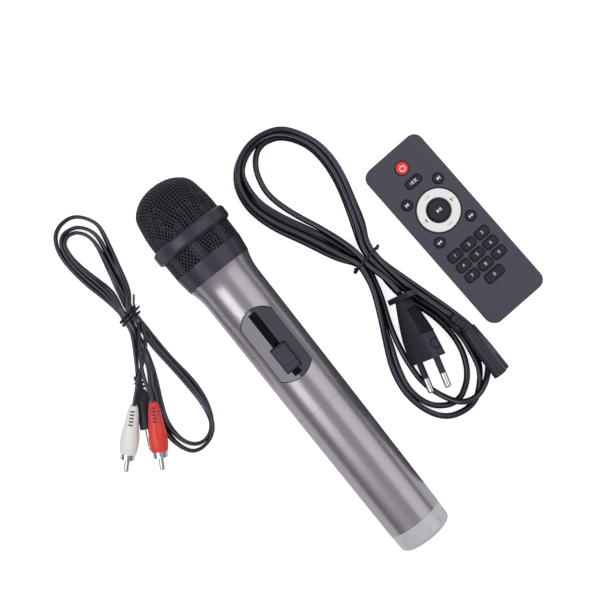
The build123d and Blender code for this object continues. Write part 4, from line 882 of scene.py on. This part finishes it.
# Key prints: one pass of matt ink, white on the dark keys and grey on the white ring, lying
# 0.05 mm over each key. Every print rides on its own key.
remote_centre, remote_turn, key_top, ink_height = (63.0, 1.3), math.radians(3.0), 8.8, 0.05
white_ink = moulded("white_screen_ink", "e9e9e7", "f6f6f4", 0.55)
grey_ink = moulded("grey_screen_ink", "3a3940", "46444b", 0.55)
faint_ink = moulded("pale_grey_screen_ink", "c9c8ca", "d4d3d5", 0.55)
on_remote = Matrix.Translation((MM * remote_centre[0], MM * remote_centre[1], 0)) @ Matrix.Rotation(
    remote_turn, 4, "Z")


def bar(x, y, width, height, turn=0.0):
    """A rectangle of ink on the remote's own plane, in mm."""
    bpy.ops.mesh.primitive_plane_add(size=MM, location=(MM * x, MM * y, 0), rotation=(0, 0, turn))
    bpy.context.object.scale = (width, height, 1)


def arrow(x, y, radius, turn=0.0):
    """A triangle of ink that points along turn."""
    bpy.ops.mesh.primitive_circle_add(vertices=3, radius=MM * radius, fill_type="NGON",
                                      location=(MM * x, MM * y, 0), rotation=(0, 0, turn - math.pi / 2))


def arc(x, y, radius, width, opening):
    """A ring of ink with a gap at its top."""
    bpy.ops.mesh.primitive_circle_add(vertices=32, radius=MM * (radius + width / 2), fill_type="NGON",
                                      location=(MM * x, MM * y, 0))
    bpy.ops.object.mode_set(mode="EDIT")
    bpy.ops.mesh.select_all(action="SELECT")
    bpy.ops.mesh.inset(thickness=MM * width)
    bpy.ops.mesh.delete(type="FACE")
    bpy.ops.object.mode_set(mode="OBJECT")
    loop = bmesh.new()
    loop.from_mesh(bpy.context.object.data)
    gap = [face for face in loop.faces
           if abs(math.atan2(face.calc_center_median().x, face.calc_center_median().y)) < opening / 2]
    bmesh.ops.delete(loop, geom=gap, context="FACES")
    loop.to_mesh(bpy.context.object.data)
    loop.free()


def words(x, y, text, size):
    """Figures in ink, centred on a place."""
    bpy.ops.object.text_add(location=(MM * x, MM * y, 0))
    letters = bpy.context.object
    letters.data.body = text
    letters.data.size = MM * size
    letters.data.offset = MM * 0.01
    letters.data.align_x, letters.data.align_y = "CENTER", "CENTER"
    bpy.ops.object.convert(target="MESH")


def ink(name, body, colour, slot, *shapes):
    """Joins one key's shapes into a print and lays it on that key."""
    drawn = []
    for shape, *sizes in shapes:
        bpy.ops.object.select_all(action="DESELECT")
        shape(*sizes)
        drawn.append(bpy.context.object)
    piece = merged(drawn)
    bpy.ops.object.transform_apply(location=True, rotation=True, scale=True)
    bpy.ops.object.mode_set(mode="EDIT")
    thicken(ink_height)
    piece.data.transform(on_remote @ Matrix.Translation((0, 0, MM * key_top)))
    piece.name = name
    piece.data.materials.clear()
    piece.data.materials.append(colour)
    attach(piece, body)


# Key gap shadows: a thin black film on the plate round every key, 0.42 mm wide, and 0.75 mm round
# the ring, that paints the shadow in the gap and sunk rim round each key.
plate_top, key_gap, gap_shadow_width, ring_gap_shadow_width, gap_shadow_height = 8.0, 0.25, 0.42, 0.75, 0.03
gap_shadow_shapes = [(0, 47.5, 7.7, 7.7, 3.85, gap_shadow_width), (0, 37.0, 10.0, 4.7, 1.6, gap_shadow_width),
               (0, 14.4, 26.0, 26.0, 13.0, ring_gap_shadow_width), (0, -35.8, 12.0, 5.5, 1.6, gap_shadow_width)]
gap_shadow_shapes += [(x, y, 6.0, 6.0, 3.0, gap_shadow_width) for x in (-12.2, 12.2) for y in (28.9, -0.5)]
gap_shadow_shapes += [(10.5 * column, -12.4 - 7.7 * row, 8.5, 5.3, 1.6, gap_shadow_width)
                for column in (-1, 0, 1) for row in range(3)]
gap_shadow_loops = []
for x, y, width, height, corner, rim in gap_shadow_shapes:
    bpy.ops.object.select_all(action="DESELECT")
    bpy.ops.mesh.primitive_plane_add(size=1)
    gap_shadow_loop = bpy.context.object
    wide, tall = width + 2 * (key_gap + rim), height + 2 * (key_gap + rim)
    gap_shadow_loop.data.transform(Matrix.Diagonal((MM * wide, MM * tall, 1, 1)))
    bpy.ops.object.mode_set(mode="EDIT")
    bpy.ops.mesh.select_all(action="SELECT")
    bpy.ops.mesh.bevel(offset=MM * (corner + key_gap + rim - 0.01), segments=12, affect="VERTICES")
    bpy.ops.mesh.remove_doubles(threshold=MM * 0.03)
    bpy.ops.mesh.select_all(action="SELECT")
    bpy.ops.mesh.inset(thickness=MM * rim)
    bpy.ops.mesh.delete(type="FACE")
    thicken(gap_shadow_height)
    gap_shadow_loop.data.transform(on_remote @ Matrix.Translation((MM * x, MM * y, MM * plate_top)))
    gap_shadow_loops.append(gap_shadow_loop)
key_gap_shadows = merged(gap_shadow_loops)
key_gap_shadows.name = "key_gap_shadows"
# Black film: painted shadow round the keys.
key_gap_shadows.data.materials.append(moulded("painted_key_gap_shadow", "121116", "1a191f", 0.55))
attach(key_gap_shadows, "set")

left, right = math.pi, 0.0
ink("power_print", "power_button", white_ink, "ring_key_plastic",
    (arc, 0, 47.3, 1.75, 0.55, math.radians(70)), (bar, 0, 48.6, 0.55, 2.0))
ink("mute_print", "mute_button", white_ink, "ring_key_plastic",
    (bar, -1.9, 37, 1.2, 1.2), (arrow, -1.2, 37, 1.35, left),
    (bar, 1.2, 37, 0.5, 2.4, math.radians(40)), (bar, 1.2, 37, 0.5, 2.4, math.radians(-40)))
ink("left_upper_print", "left_upper_button", white_ink, "ring_key_plastic",
    (bar, -13.2, 28.9, 0.5, 2.0), (arrow, -11.9, 28.9, 1.2, left))
ink("right_upper_print", "right_upper_button", white_ink, "ring_key_plastic",
    (arrow, 11.9, 28.9, 1.2, right), (bar, 13.2, 28.9, 0.5, 2.0))
ink("left_lower_print", "left_lower_button", white_ink, "ring_key_plastic",
    (arrow, -11.4, -0.5, 1.0, left), (arrow, -13.0, -0.5, 1.0, left))
ink("right_lower_print", "right_lower_button", white_ink, "ring_key_plastic",
    (arrow, 11.4, -0.5, 1.0, right), (arrow, 13.0, -0.5, 1.0, right))
ink("play_print", "play_button", white_ink, "ring_key_plastic",
    (arrow, -0.8, 14.4, 1.25, right), (bar, 0.75, 14.4, 0.45, 2.0), (bar, 1.6, 14.4, 0.45, 2.0))
ink("ring_marks", "ring", grey_ink, "key_plastic",
    (bar, -9.6, 14.4, 0.7, 2.2), (bar, 9.6, 14.4, 0.7, 2.2))
ink("ring_faint_marks", "ring", faint_ink, "key_plastic",
    (bar, -11.3, 14.4, 1.3, 0.4), (bar, 11.3, 14.4, 1.3, 0.4), (bar, 11.3, 14.4, 0.4, 1.3),
    (bar, 0, 24.4, 4.2, 0.5), (bar, 0, 25.4, 2.6, 0.4), (bar, 0, 4.4, 4.2, 0.5), (bar, 0, 3.4, 2.6, 0.4))
digit_across, digit_row, digit_pitch, zero_row, digit_height = 10.5, -12.4, 7.7, -35.8, 3.0
for number in range(10):
    x = ((number - 1) % 3 - 1) * digit_across if number else 0.0
    y = digit_row - (number - 1) // 3 * digit_pitch if number else zero_row
    ink(f"digit_{number}_print", f"digit_{number}_button", white_ink, "ring_key_plastic",
        (words, x, y, str(number), digit_height))
